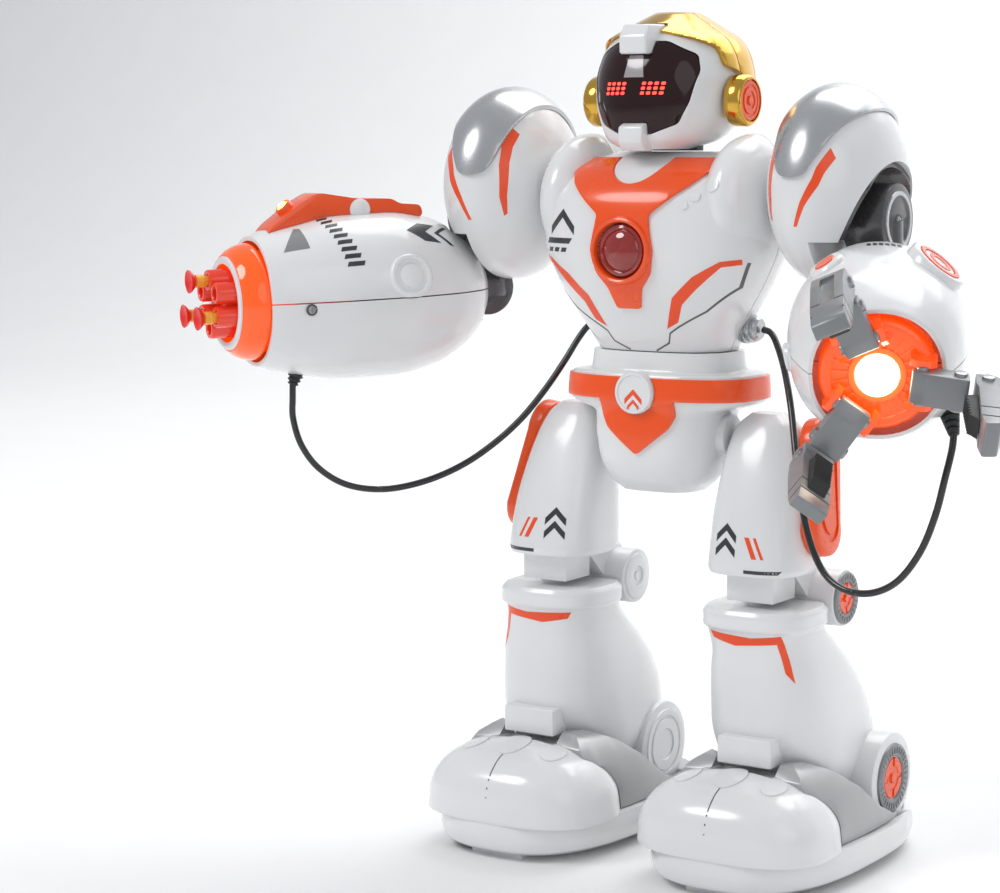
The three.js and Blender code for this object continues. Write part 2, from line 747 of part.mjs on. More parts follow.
function footShell() {
  const { x, y, radius, halfWidth } = WHEEL;
  const pads = PADS.map((pad) => box(pad.x, pad.y, [0, 5]));
  const body = joined([loft(SOLE, 0, FOOT_SQUARENESS), loft(TOE, 0, FOOT_SQUARENESS), ...pads]);
  const reach = halfWidth + 1.2;
  const below = box([x - reach, x + reach], [y - radius - 1.2, y + radius + 1.2], [-1, radius]);
  return without(body, wheelRoom(1.2), below, shinRoom());
}

// The silver deck inside the foot falls from the shin's strap to the heel.
function footDeck() {
  const wedge = slabX(DECK_PROFILE, FOOT_X - 50, FOOT_X + 50);
  const plan = loft(DECK_PLAN, 0, FOOT_SQUARENESS);
  return without(wedge.intersect(plan), shinRoom(), loft(TOE, GAP, FOOT_SQUARENESS));
}

function legs() {
  for (const [name, side] of SIDES) {
    place(robot, `${name}_thigh`, mirrored(thigh(), side), WHITE());
    place(robot, `${name}_thigh_panel`, mirrored(thighPanel(), side), ORANGE());
    place(robot, `${name}_shin`, mirrored(shin(), side), WHITE());
    place(robot, `${name}_foot_shell`, mirrored(footShell(), side), WHITE());
    place(robot, `${name}_foot_deck`, mirrored(footDeck(), side), SILVER());
    place(robot, `${name}_drive_wheel`, mirrored(wheelRoom(0), side), BLACK());
  }
}

// ---- cables -------------------------------------------------------------------------------------------
// Each cable hangs in one loop from its socket on the flank to the gland under the forearm.
const RIGHT_CABLE = [
  [-45.8, 8, 252.8],
  [-50, 7.5, 250.6],
  [-54, 5, 244.5],
  [-58.5, 0, 234],
  [-65, -7, 220.5],
  [-74, -15, 206],
  [-84, -24, 194],
  [-96, -34, 183.5],
  [-110, -46, 175.8],
  [-125, -59, 172.2],
  [-139, -70, 174.5],
  [-150, -78, 182.5],
  [-157, -83, 194],
  [-160, -85.5, 207],
  [-159.8, -86, 217],
  [-159.6, -86, 226.2],
];
const LEFT_CABLE = [
  [45.8, 8, 252.8],
  [50.5, 7, 251.3],
  [56, 3, 245.5],
  [64, -5, 234.5],
  [73, -16, 219],
  [81, -26.5, 199],
  [88, -34, 179],
  [95, -38.5, 162],
  [104, -42, 149.5],
  [116, -45, 143.8],
  [130, -48, 144.5],
  [143, -50, 151.5],
  [154, -52, 165.5],
  [161, -53, 182],
  [165, -53, 198],
  [167, -51, 210],
  [167, -49, 218],
];
const CABLE_STEPS = 30;

function cable(points) {
  const path = new THREE.CatmullRomCurve3(points.map((point) => new THREE.Vector3(...point)));
  const section = new THREE.Shape();
  for (let i = 0; i < 8; i += 1) {
    const angle = (i / 8) * 2 * Math.PI;
    const [x, y] = [CABLE_RADIUS * Math.cos(angle), CABLE_RADIUS * Math.sin(angle)];
    if (i === 0) section.moveTo(x, y);
    else section.lineTo(x, y);
  }
  return new THREE.ExtrudeGeometry(section, { steps: CABLE_STEPS, extrudePath: path, curveSegments: 1 });
}

torso();
head();
addUpperArm("right", -1, LAUNCHER.splay);
addUpperArm("left", 1, CLAW.splay);
launcher();
claw();
pelvis();
legs();

// The origin is the middle of the robot's footprint box, on the floor, measured without the cables.
robot.updateMatrixWorld(true);
const bounds = new THREE.Box3().setFromObject(robot, true);
const middle = bounds.getCenter(new THREE.Vector3());
place(robot, "right_cable", cable(RIGHT_CABLE), BLACK());
place(robot, "left_cable", cable(LEFT_CABLE), BLACK());
robot.position.set(-middle.x, -middle.y, -bounds.min.z);

export default robot;
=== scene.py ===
import json
import math

import bmesh
import bpy
import numpy as np
from mathutils import Matrix, Vector
from mathutils.bvhtree import BVHTree


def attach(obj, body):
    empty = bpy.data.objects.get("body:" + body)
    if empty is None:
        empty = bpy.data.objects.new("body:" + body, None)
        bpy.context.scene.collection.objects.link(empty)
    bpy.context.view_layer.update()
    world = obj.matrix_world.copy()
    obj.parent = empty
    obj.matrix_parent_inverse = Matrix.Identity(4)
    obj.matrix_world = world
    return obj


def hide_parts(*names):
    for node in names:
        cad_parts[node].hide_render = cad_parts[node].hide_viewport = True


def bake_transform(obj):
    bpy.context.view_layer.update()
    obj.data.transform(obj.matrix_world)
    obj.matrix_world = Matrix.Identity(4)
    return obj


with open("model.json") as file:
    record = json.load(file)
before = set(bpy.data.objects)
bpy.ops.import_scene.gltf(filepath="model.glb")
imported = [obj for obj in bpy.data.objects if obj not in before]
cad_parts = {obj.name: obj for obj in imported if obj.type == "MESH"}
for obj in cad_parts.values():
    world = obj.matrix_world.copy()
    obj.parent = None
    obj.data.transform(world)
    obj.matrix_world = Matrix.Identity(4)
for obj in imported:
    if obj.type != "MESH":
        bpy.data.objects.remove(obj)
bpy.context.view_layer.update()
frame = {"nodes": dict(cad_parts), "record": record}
JOINTS = {joint["name"]: joint for joint in frame["record"]["behaviour"]["joints"]}
SIDES = (("left", 1), ("right", -1))
MM = 0.001
FAR = 400
AROUND = 96

# ---- places -------------------------------------------------------------------------------------------
NECK_PIVOT = Vector((0, 5, 345))
ELBOW = {"right": Vector((-108, 0, 268.5)), "left": Vector((108, 0, 268.5))}
SPLAY = {"right": -31, "left": 25}
PITCH = {"right": 2, "left": 14.5}


def turn(degrees, axis):
    return Matrix.Rotation(math.radians(degrees), 4, axis)


def shift(x, y, z):
    return Matrix.Translation((x, y, z))


# The robot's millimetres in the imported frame, from where the record puts the neck pivot.
ORIGIN = Vector(JOINTS["head_turn"]["pos_m"]) - NECK_PIVOT * MM
ROBOT = Matrix.Translation(ORIGIN) @ Matrix.Scale(MM, 4)
ARM = {}
for arm_side, elbow in ELBOW.items():
    ARM[arm_side] = ROBOT @ Matrix.Translation(elbow) @ turn(SPLAY[arm_side], "Z") @ turn(PITCH[arm_side], "X")
FORWARD = turn(90, "X")  # lays what stands up Z down along an arm's -Y
MIRROR = {1: Matrix.Identity(4), -1: Matrix.Scale(-1, 4, (1, 0, 0))}

# ---- camera -------------------------------------------------------------------------------------------
CAMERA_AT = Vector((599.8, -1056.6, 341.8))
CAMERA_LOOKS_AT = Vector((-68.0, -43.3, 195.3))


def add_camera():
    data = bpy.data.cameras.new("camera")
    data.lens = 92
    data.sensor_width = 36
    data.clip_start = 0.05
    camera = bpy.data.objects.new("camera", data)
    bpy.context.scene.collection.objects.link(camera)
    camera.location = ROBOT @ CAMERA_AT
    look = ROBOT @ CAMERA_LOOKS_AT - camera.location
    camera.rotation_euler = look.to_track_quat("-Z", "Y").to_euler()
    bpy.context.scene.camera = camera


# ---- materials ----------------------------------------------------------------------------------------
def shader(name, colour, roughness, *, metallic=0.0, coat=0.0, specular=0.5, grain=900.0, grain_depth=0.02,
           mottle=0.03, edge_lightening=0.04, transmission=0.0, emission=None, strength=0.0, subsurface=0.0):
    """A moulded or painted surface: its colour drifts slightly, its roughness varies, it has a fine grain
    and it is painted a little lighter on its sharp convex edges."""
    material = bpy.data.materials.new(name)
    material.use_nodes = True
    nodes, links = material.node_tree.nodes, material.node_tree.links
    base = nodes["Principled BSDF"]
    base.inputs["Metallic"].default_value = metallic
    base.inputs["Coat Weight"].default_value = coat
    base.inputs["Coat Roughness"].default_value = 0.06
    base.inputs["Specular IOR Level"].default_value = specular
    base.inputs["Transmission Weight"].default_value = transmission
    base.inputs["Subsurface Weight"].default_value = subsurface
    base.inputs["Subsurface Scale"].default_value = 0.002
    place = nodes.new("ShaderNodeTexCoord")

    def noise(scale, detail):
        node = nodes.new("ShaderNodeTexNoise")
        node.inputs["Scale"].default_value = scale
        node.inputs["Detail"].default_value = detail
        links.new(place.outputs["Object"], node.inputs["Vector"])
        return node.outputs["Fac"]

    def remap(value, low, high, to_low, to_high):
        node = nodes.new("ShaderNodeMapRange")
        node.inputs["From Min"].default_value = low
        node.inputs["From Max"].default_value = high
        node.inputs["To Min"].default_value = to_low
        node.inputs["To Max"].default_value = to_high
        links.new(value, node.inputs["Value"])
        return node.outputs["Result"]

    def mix(factor, first, second):
        node = nodes.new("ShaderNodeMix")
        node.data_type = "RGBA"
        links.new(factor, node.inputs["Factor"])
        for socket, value in ((node.inputs["A"], first), (node.inputs["B"], second)):
            if isinstance(value, tuple):
                socket.default_value = value
            else:
                links.new(value, socket)
        return node.outputs["Result"]

    darker = tuple(c * (1 - mottle) for c in colour) + (1,)
    lighter = tuple(min(1, c + (1 - c) * 0.35) for c in colour) + (1,)
    drift = mix(remap(noise(14, 3), 0.35, 0.65, 0, 1), colour + (1,), darker)
    geometry = nodes.new("ShaderNodeNewGeometry")
    # Sharp convex edges (high Pointiness) are painted a little lighter.
    edge = remap(geometry.outputs["Pointiness"], 0.52, 0.60, 0, edge_lightening)
    links.new(mix(edge, drift, lighter), base.inputs["Base Color"])
    links.new(remap(noise(60, 4), 0.3, 0.7, roughness * 0.85, roughness * 1.2), base.inputs["Roughness"])
    bump = nodes.new("ShaderNodeBump")
    bump.inputs["Strength"].default_value = grain_depth * 4
    bump.inputs["Distance"].default_value = 0.0001
    links.new(noise(grain, 5), bump.inputs["Height"])
    links.new(bump.outputs["Normal"], base.inputs["Normal"])
    if emission is not None:
        base.inputs["Emission Color"].default_value = emission + (1,)
        base.inputs["Emission Strength"].default_value = strength
    return material


WHITE = shader("white_moulding", (0.8, 0.805, 0.81), 0.2, coat=0.35)
ORANGE = shader("orange_moulding", (0.93, 0.085, 0.003), 0.24, coat=0.3)
ORANGE_PRINT = shader("orange_print", (0.9, 0.07, 0.004), 0.3, coat=0.2, grain_depth=0.01)
DARK_PRINT = shader("dark_print", (0.018, 0.024, 0.028), 0.35, coat=0.2)
GREY_PRINT = shader("grey_print", (0.22, 0.23, 0.23), 0.4)
# The amber plastic's emission is a painted glow: the muzzle ring and palm disc are no lamp.
AMBER = shader("amber_clear_painted_glow", (1.0, 0.13, 0.004), 0.1, coat=0.5, transmission=0.3, emission=(1.0, 0.13, 0.0),
               strength=0.25)
# The barrels' slight emission is a painted glow; the barrel tubes are no lamp.
BARREL_RED = shader("barrel_red_painted_glow", (0.82, 0.035, 0.008), 0.14, coat=0.6, emission=(0.9, 0.05, 0.0), strength=0.1)
DART_YELLOW = shader("dart_yellow", (0.96, 0.42, 0.03), 0.3, coat=0.2, subsurface=0.2)
DART_RED = shader("dart_red", (0.85, 0.012, 0.01), 0.28, coat=0.3, subsurface=0.15)
SILVER = shader("silver_paint", (0.5, 0.51, 0.525), 0.24, metallic=0.75, coat=0.5, grain=2200, grain_depth=0.04)
DECK_SILVER = shader("deck_silver", (0.44, 0.445, 0.45), 0.36, metallic=0.45, grain=2200, grain_depth=0.04)
GOLD = shader("gold_plate", (0.72, 0.42, 0.055), 0.13, metallic=1.0, coat=0.3, grain_depth=0.01)
GUNMETAL = shader("gunmetal", (0.11, 0.105, 0.108), 0.28, metallic=0.65, coat=0.3, grain=1800)
GREY = shader("grey_moulding", (0.245, 0.255, 0.265), 0.33, metallic=0.25, coat=0.1, grain=1500, grain_depth=0.05)
BLACK = shader("black_moulding", (0.012, 0.012, 0.013), 0.4, grain_depth=0.05)
RUBBER = shader("black_rubber", (0.014, 0.014, 0.015), 0.62, grain=700, grain_depth=0.12)
CABLE_SLEEVE = shader("cable_sleeve", (0.008, 0.008, 0.009), 0.22, coat=0.4, grain=1200, grain_depth=0.03)
# The visor's faint red emission is a painted glow; the visor pane is no lamp.
VISOR_TINT = shader("visor_tint_painted_glow", (0.01, 0.001, 0.0013), 0.07, coat=0.15, specular=0.35, edge_lightening=0.0,
                    grain_depth=0.003, emission=(0.2, 0.0, 0.004), strength=0.03)
EYE_RED = shader("eye_light", (0.9, 0.02, 0.02), 0.3, emission=(1.0, 0.03, 0.02), strength=5.5)
# The chest lens's faint emission is a painted glow; the lens is no lamp.
LENS_RED = shader("lens_red_painted_glow", (0.3, 0.008, 0.006), 0.05, coat=1.0, transmission=0.25, emission=(0.4, 0.01, 0.0),
                  strength=0.08)
LAMP = shader("lamp_cap", (1.0, 0.93, 0.78), 0.2, emission=(1.0, 0.88, 0.62), strength=9.0)
SIGHT_LED = shader("sight_led", (1.0, 0.75, 0.1), 0.2, emission=(1.0, 0.62, 0.05), strength=14.0)
SHADE_GLASS = shader("shade_glass", (0.34, 0.31, 0.32), 0.15, coat=0.6)
BOARD_GREEN = shader("board_green", (0.02, 0.13, 0.045), 0.45, grain=400, grain_depth=0.08)
STEEL = shader("screw_steel", (0.35, 0.35, 0.36), 0.3, metallic=0.9)
# Painted shade: a dark colour for seam lines and screw recesses, where shade falls on the plastic.
RECESS_SHADE = shader("painted_recess_shade", (0.12, 0.115, 0.11), 0.6)


# ---- mesh tools ---------------------------------------------------------------------------------------
def made(name, vertices, faces):
    mesh = bpy.data.meshes.new(name)
    mesh.from_pydata([tuple(v) for v in vertices], [], faces)
    tidy = bmesh.new()
    tidy.from_mesh(mesh)
    bmesh.ops.recalc_face_normals(tidy, faces=tidy.faces)
    tidy.to_mesh(mesh)
    tidy.free()
    obj = bpy.data.objects.new(name, mesh)
    bpy.context.scene.collection.objects.link(obj)
    return obj


def applied(obj):
    depsgraph = bpy.context.evaluated_depsgraph_get()
    mesh = bpy.data.meshes.new_from_object(obj.evaluated_get(depsgraph))
    obj.modifiers.clear()
    obj.data = mesh
    return obj


def moved(obj, matrix):
    obj.data.transform(matrix)
    if matrix.determinant() < 0:
        obj.data.flip_normals()
    return obj


def merged(name, objects):
    joined = bmesh.new()
    for obj in objects:
        joined.from_mesh(obj.data)
        bpy.data.objects.remove(obj)
    mesh = bpy.data.meshes.new(name)
    joined.to_mesh(mesh)
    joined.free()
    obj = bpy.data.objects.new(name, mesh)
    bpy.context.scene.collection.objects.link(obj)
    return obj


def cut(body, *tools, operation="DIFFERENCE"):
    """The body after each tool is taken from it, joined to it, or met with it."""
    for tool in tools:
        modifier = body.modifiers.new("cut", "BOOLEAN")
        modifier.object = tool
        modifier.operation = operation
        modifier.solver = "EXACT"
        applied(body)
        bpy.data.objects.remove(tool)
    return body


def bevelled(obj, width, angle=32, segments=2):
    modifier = obj.modifiers.new("edge", "BEVEL")
    modifier.width = width
    modifier.segments = segments
    modifier.limit_method = "ANGLE"
    modifier.angle_limit = math.radians(angle)
    modifier.use_clamp_overlap = True
    return applied(obj)


def smooth_rows(rows, fine):
    """Rows joined by monotone curves, with the given number of steps between two rows."""
    table = np.array([list(row) + [0] * (5 - len(row)) for row in rows], float)
    along = np.concatenate([[0], np.cumsum(np.hypot(np.diff(table[:, 0]), np.diff(table[:, 1])) + 1e-6)])
    step = np.diff(along)[:, None]
    slope = np.diff(table, axis=0) / step
    tangent = np.zeros_like(table)
    tangent[0], tangent[-1] = slope[0], slope[-1]
    before, after = slope[:-1], slope[1:]
    same = before * after > 0
    blend = 2 * before * after / np.where(same, before + after, 1)
    tangent[1:-1] = np.where(same, blend, 0)
    fine_rows = []
    for i in range(len(table) - 1):
        for k in range(fine):
            t = k / fine
            h = step[i]
            fine_rows.append(
                (2 * t**3 - 3 * t**2 + 1) * table[i] + (t**3 - 2 * t**2 + t) * h * tangent[i]
                + (3 * t**2 - 2 * t**3) * table[i + 1] + (t**3 - t**2) * h * tangent[i + 1]
            )
    fine_rows.append(table[-1])
    return fine_rows


def loft(name, rows, p=2.4, grow=0.0, around=AROUND, fine=5, dome="", straight=False):
    """A closed body up Z through rows of [z, half width, half depth, y, x] with superellipse sections.
    dome closes its top or bottom to a point instead of a flat end."""
    rows = [list(row) for row in rows]
    rows[0][0] -= grow
    rows[-1][0] += grow
    if "top" in dome:
        z, w, d, *rest = rows[-1]
        rows.append([z + 0.08 * w, 0.2, 0.2, *rest])
    if "bottom" in dome:
        z, w, d, *rest = rows[0]
        rows.insert(0, [z - 0.08 * w, 0.2, 0.2, *rest])
    if straight:
        table = [row + [0] * (5 - len(row)) for row in rows]
    else:
        table = smooth_rows(rows, fine)
    vertices = []
    for z, w, d, y, x in table:
        for i in range(around):
            angle = i / around * 2 * math.pi
            c, s = math.cos(angle), math.sin(angle)
            wide = math.copysign(abs(c) ** (2 / p), c) * (w + grow)
            deep = math.copysign(abs(s) ** (2 / p), s) * (d + grow)
            vertices.append((x + wide, y + deep, z))
    return made(name, vertices, tube_faces(len(table), around))


def tube_faces(rings, around):
    faces = [list(range(around))[::-1]]
    for r in range(rings - 1):
        for i in range(around):
            j = (i + 1) % around
            faces.append([r * around + i, r * around + j, (r + 1) * around + j, (r + 1) * around + i])
    faces.append([(rings - 1) * around + i for i in range(around)])
    return faces


def ball(name, centre, radii, around=64, rings=32):
    """An ellipsoid whose poles lie on its X axis."""
    vertices = []
    for r in range(rings + 1):
        polar = max(0.02, min(math.pi - 0.02, r / rings * math.pi))
        for i in range(around):
            angle = i / around * 2 * math.pi
            vertices.append((
                centre[0] + radii[0] * math.cos(polar),
                centre[1] + radii[1] * math.sin(polar) * math.cos(angle),
                centre[2] + radii[2] * math.sin(polar) * math.sin(angle),
            ))
    return made(name, vertices, tube_faces(rings + 1, around))


def rounded(outline, radius, steps=5):
    """An outline whose corners are arcs of about the given radius."""
    points = []
    count = len(outline)
    for i in range(count):
        here = Vector(outline[i])
        before = Vector(outline[i - 1]) - here
        after = Vector(outline[(i + 1) % count]) - here
        reach = min(radius, before.length * 0.45, after.length * 0.45)
        start, end = here + before.normalized() * reach, here + after.normalized() * reach
        for k in range(steps + 1):
            t = k / steps
            points.append(tuple(start * (1 - t) ** 2 + here * 2 * t * (1 - t) + end * t**2))
    return points


def prism(name, outline, axis, low, high, radius=0.0):
    """An outline extruded along an axis. Its points are (y, z) along X, (x, z) along Y, (x, y) along Z."""
    if radius:
        outline = rounded(outline, radius)
    spot = {"X": lambda a, b, h: (h, a, b), "Y": lambda a, b, h: (a, h, b), "Z": lambda a, b, h: (a, b, h)}[axis]
    vertices = [spot(a, b, h) for h in (low, high) for a, b in outline]
    count = len(outline)
    faces = [list(range(count))[::-1], list(range(count, 2 * count))]
    for i in range(count):
        j = (i + 1) % count
        faces.append([i, j, count + j, count + i])
    return made(name, vertices, faces)


def block(name, x, y, z):
    return prism(name, [(x[0], y[0]), (x[1], y[0]), (x[1], y[1]), (x[0], y[1])], "Z", z[0], z[1])


def turned(name, profile, around=64, matrix=None):
    """A body of revolution about Z through rows of (height, radius), closed on the axis or on itself."""
    ring_shaped = profile[0] == profile[-1]
    rows = profile[:-1] if ring_shaped else profile
    vertices, faces = [], []
    for height, radius in rows:
        for i in range(around):
            angle = i / around * 2 * math.pi
            vertices.append((max(radius, 0.01) * math.cos(angle), max(radius, 0.01) * math.sin(angle), height))
    count = len(rows)
    for r in range(count if ring_shaped else count - 1):
        below, above = r * around, (r + 1) % count * around
        for i in range(around):
            j = (i + 1) % around
            faces.append([below + i, below + j, above + j, above + i])
    if not ring_shaped:
        faces.append(list(range(around))[::-1])
        faces.append([(count - 1) * around + i for i in range(around)])
    obj = made(name, vertices, faces)
    return moved(obj, matrix) if matrix else obj


def rod(name, low, high, radius, matrix=None, around=48, edge=0.0):
    """A round bar along Z with eased rims."""
    if edge:
        profile = [(low, radius - edge), (low + edge * 0.3, radius - edge * 0.3), (low + edge, radius),
                   (high - edge, radius), (high - edge * 0.3, radius - edge * 0.3), (high, radius - edge)]
    else:
        profile = [(low, radius), (high, radius)]
    return turned(name, profile, around, matrix)


def along_x(x, y, z):
    """Turns a piece that stands up Z to lie along +X from the given point."""
    return shift(x, y, z) @ turn(90, "Y")


def along_front(x, y, z):
    """Turns a piece that stands up Z to point along -Y from the given point."""
    return shift(x, y, z) @ FORWARD


def clipped_sheet(outline, step):
    """A flat polygon cut into a grid of small cells."""
    sheet = bmesh.new()
    sheet.faces.new([sheet.verts.new((a, b, 0)) for a, b in outline])
    low = [min(p[k] for p in outline) for k in (0, 1)]
    high = [max(p[k] for p in outline) for k in (0, 1)]
    for k in (0, 1):
        normal = Vector((1 - k, k, 0))
        place = low[k] + step
        while place < high[k] - 0.05:
            everything = sheet.verts[:] + sheet.edges[:] + sheet.faces[:]
            bmesh.ops.bisect_plane(sheet, geom=everything, plane_co=normal * place, plane_no=normal, dist=1e-5)
            place += step
    return sheet


def sticker(name, target, outline, at=(0, 0, 0), u=(1, 0, 0), v=(0, 0, 1), lift=0.12, thick=0.1, step=1.6,
            radius=0.0):
    """A print or thin trim that lies on a target's surface, drawn in the plane of u and v and dropped onto
    it along that plane's normal."""
    if radius:
        outline = rounded(outline, radius)
    at, u, v = Vector(at), Vector(u).normalized(), Vector(v).normalized()
    out = u.cross(v)
    tree = BVHTree.FromPolygons([v.co for v in target.data.vertices], [p.vertices for p in target.data.polygons])
    sheet = clipped_sheet(outline, step)
    for vertex in sheet.verts:
        flat = at + u * vertex.co.x + v * vertex.co.y
        spot, normal, _, _ = tree.ray_cast(flat + out * 90, -out)
        if spot is None:
            nearest, normal, _, _ = tree.find_nearest(flat + out * 30)
            spot = nearest
        vertex.co = spot + normal * lift
    bmesh.ops.triangulate(sheet, faces=[f for f in sheet.faces if len(f.verts) > 4])
    bmesh.ops.recalc_face_normals(sheet, faces=sheet.faces)
    mesh = bpy.data.meshes.new(name)
    sheet.to_mesh(mesh)
    sheet.free()
    obj = bpy.data.objects.new(name, mesh)
    bpy.context.scene.collection.objects.link(obj)
    facing = sum((f.normal * f.area for f in mesh.polygons), Vector())
    if facing.dot(out) < 0:
        mesh.flip_normals()
    thicken = obj.modifiers.new("thick", "SOLIDIFY")
    thicken.thickness = thick
    thicken.offset = -1
    return applied(obj)


def finish(obj, matrix, material, body, nodes=(), sharp=38):
    """Places a piece, gives it its material and its body, and hides the CAD nodes it stands for."""
    moved(obj, matrix)
    obj.data.materials.clear()
    obj.data.materials.append(material)
    obj.data.shade_smooth()
    obj.data.set_sharp_from_angle(angle=math.radians(sharp))
    obj.data.name = obj.name
    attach(obj, body)
    if nodes:
        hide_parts(*nodes)
    return obj


def copied(obj, name):
    twin = bpy.data.objects.new(name, obj.data.copy())
    bpy.context.scene.collection.objects.link(twin)
    return twin


def finish_pair(obj, base, material, body, nodes=(), sharp=38):
    """Finishes a piece drawn on the left side and its mirrored twin. {} in a name stands for the side."""
    pieces = [obj, copied(obj, "twin")]
    obj.name = base.format("left") + "_keep"
    for piece, (side, sign) in zip(pieces, SIDES):
        piece.name = base.format(side)
        finish(piece, ROBOT @ MIRROR[sign], material, body.format(side),
               [node.format(side) for node in nodes], sharp)


def marked(target, name, outline, base_matrix, material, body, slot, **how):
    """A sticker on a target that isn't placed yet, finished at once."""
    piece = sticker(name, target, outline, **how)
    return finish(piece, base_matrix, material, body)


# ---- cables -------------------------------------------------------------------------------------------
CABLE_RADIUS = 1.6
CABLES = {
    "right": [
        (-45.8, 8, 252.8), (-50, 7.5, 250.6), (-54, 5, 244.5), (-58.5, 0, 234), (-65, -7, 220.5),
        (-74, -15, 206), (-84, -24, 194), (-96, -34, 183.5), (-110, -46, 175.8), (-125, -59, 172.2),
        (-139, -70, 174.5), (-150, -78, 182.5), (-157, -83, 194), (-160, -85.5, 207), (-159.8, -86, 217),
        (-159.6, -86, 226.2),
    ],
    "left": [
        (45.8, 8, 252.8), (50.5, 7, 251.3), (56, 3, 245.5), (64, -5, 234.5), (73, -16, 219),
        (81, -26.5, 199), (88, -34, 179), (95, -38.5, 162), (104, -42, 149.5), (116, -45, 143.8),
        (130, -48, 144.5), (143, -50, 151.5), (154, -52, 165.5), (161, -53, 182), (165, -53, 198),
        (167, -51, 210), (167, -49, 218),
    ],
}


def smooth_path(points, steps=8):
    """A smooth curve through the points."""
    points = [Vector(p) for p in points]
    ends = [points[0] * 2 - points[1]] + points + [points[-1] * 2 - points[-2]]
    path = []
    for i in range(1, len(ends) - 2):
        a, b, c, d = ends[i - 1], ends[i], ends[i + 1], ends[i + 2]
        for k in range(steps):
            t = k / steps
            path.append(
                ((b * 2) + (c - a) * t + (a * 2 - b * 5 + c * 4 - d) * t * t
                 + (b * 3 - a - c * 3 + d) * t**3) * 0.5
            )
    return path + [points[-1]]


def tube(name, path, radius, sides=20):
    """A round tube that follows a path without twisting."""
    side = Vector((0, 1, 0))
    vertices = []
    for i, point in enumerate(path):
        ahead = (path[min(i + 1, len(path) - 1)] - path[max(i - 1, 0)]).normalized()
        side = (side - ahead * side.dot(ahead)).normalized()
        other = ahead.cross(side)
        for k in range(sides):
            angle = k / sides * 2 * math.pi
            vertices.append(point + (side * math.cos(angle) + other * math.sin(angle)) * radius)
    return made(name, vertices, tube_faces(len(path), sides))


def add_cables():
    """Each cable is two halves that meet at its lowest point: the first runs from the chest socket and the
    second from the forearm."""
    for side, points in CABLES.items():
        path = smooth_path(points)
        low = min(range(len(path)), key=lambda i: path[i].z)
        halves = {"body": path[:low + 1], "arm": path[low:][::-1]}
        for half, route in halves.items():
            piece = tube(f"{side}_cable_{half}_half", route, CABLE_RADIUS)
            moved(piece, ROBOT)
            route = [ROBOT @ point for point in route]
            piece.data.materials.append(CABLE_SLEEVE)
            piece.data.shade_smooth()
            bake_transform(piece)
            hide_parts(f"{side}_cable")


# ---- torso --------------------------------------------------------------------------------------------
CHEST = [
    [242.9, 33, 24, 0], [250, 36, 28, -1], [262, 43, 34, -2], [276, 51, 39, -3], [293, 57.5, 42.5, -3],
    [312, 58.5, 42, -1], [326, 50, 36, 3], [332, 40, 29, 6], [335.5, 28, 21, 8],
]
CHEST_P = 2.7
YOKE = [(6, 263.5), (8.7, 273), (14.2, 280), (16.3, 290.5), (14.1, 302), (13.5, 307), (31, 321), (37, 328),
        (38, 338)]
LENS_Z = 290.5
SLASH = [(51.9, 287), (51.5, 284.5), (44.9, 283.5), (34, 273.5), (26.1, 266), (22.2, 257.5), (16.1, 254.3),
         (22.3, 269.1), (33, 279), (45, 286.1)]
PLATE_SEAM = [(53.2, 285.3), (48.1, 273.9), (35, 262.8), (21.5, 255.2), (16.8, 252.2), (14.8, 247.4),
              (7, 243.4)]
CAP = [(75, 331), (78, 326), (84, 324.3), (91, 325.5), (93.5, 330), (97, 336), (102, 346.5), (107, 353),
       (114, 361), (118, 374), (66, 374), (69, 362), (71, 350), (73, 339)]
INNER_STRIPE = [(64, 343.5), (68, 347), (73.5, 339.5), (75.8, 329), (75.8, 314), (73, 305), (71.4, 306),
                (72, 315), (70.6, 330), (68.3, 337.5)]
OUTER_STRIPE = [(100.5, 337.5), (103, 333), (99.6, 326.5), (97.6, 321), (91.6, 312), (87.3, 303), (85.6, 303),
                (89.6, 313.7), (94.8, 324.2), (96.2, 329)]


def line(points, width):
    """The outline of a thin line of the given width along the points."""
    points = [Vector(p) for p in points]
    left, right = [], []
    for i, point in enumerate(points):
        ahead = (points[min(i + 1, len(points) - 1)] - points[max(i - 1, 0)]).normalized()
        side = Vector((-ahead.y, ahead.x)) * width / 2
        left.append(tuple(point + side))
        right.append(tuple(point - side))
    return left + right[::-1]


def chest_body(grow=0.0):
    domes = [ball("dome", (side * 44, 0, 312), (17.4 + grow, 37 + grow, 32 + grow)) for side in (1, -1)]
    return cut(loft("chest", CHEST, CHEST_P, grow), *domes, operation="UNION")


def slab(name, low, high):
    return block(name, (-FAR, FAR), (low, high), (-FAR, FAR))


def chevron(x, z, size, heavy):
    """A plain arrowhead that points up."""
    return [(x - size, z - size * 0.5), (x, z + size * 0.5), (x + size, z - size * 0.5),
            (x + size, z - size * 0.5 - heavy), (x, z + size * 0.5 - heavy), (x - size, z - size * 0.5 - heavy)]


def bar_shape(x, z, length, heavy, lean=0.0):
    """A short bar from (x, z) with slanted ends."""
    return [(x, z), (x + length, z), (x + length - lean, z - heavy), (x - lean, z - heavy)]


def disc_shape(x, z, radius, count=28):
    return [(x + radius * math.cos(i / count * 2 * math.pi), z + radius * math.sin(i / count * 2 * math.pi))
            for i in range(count)]


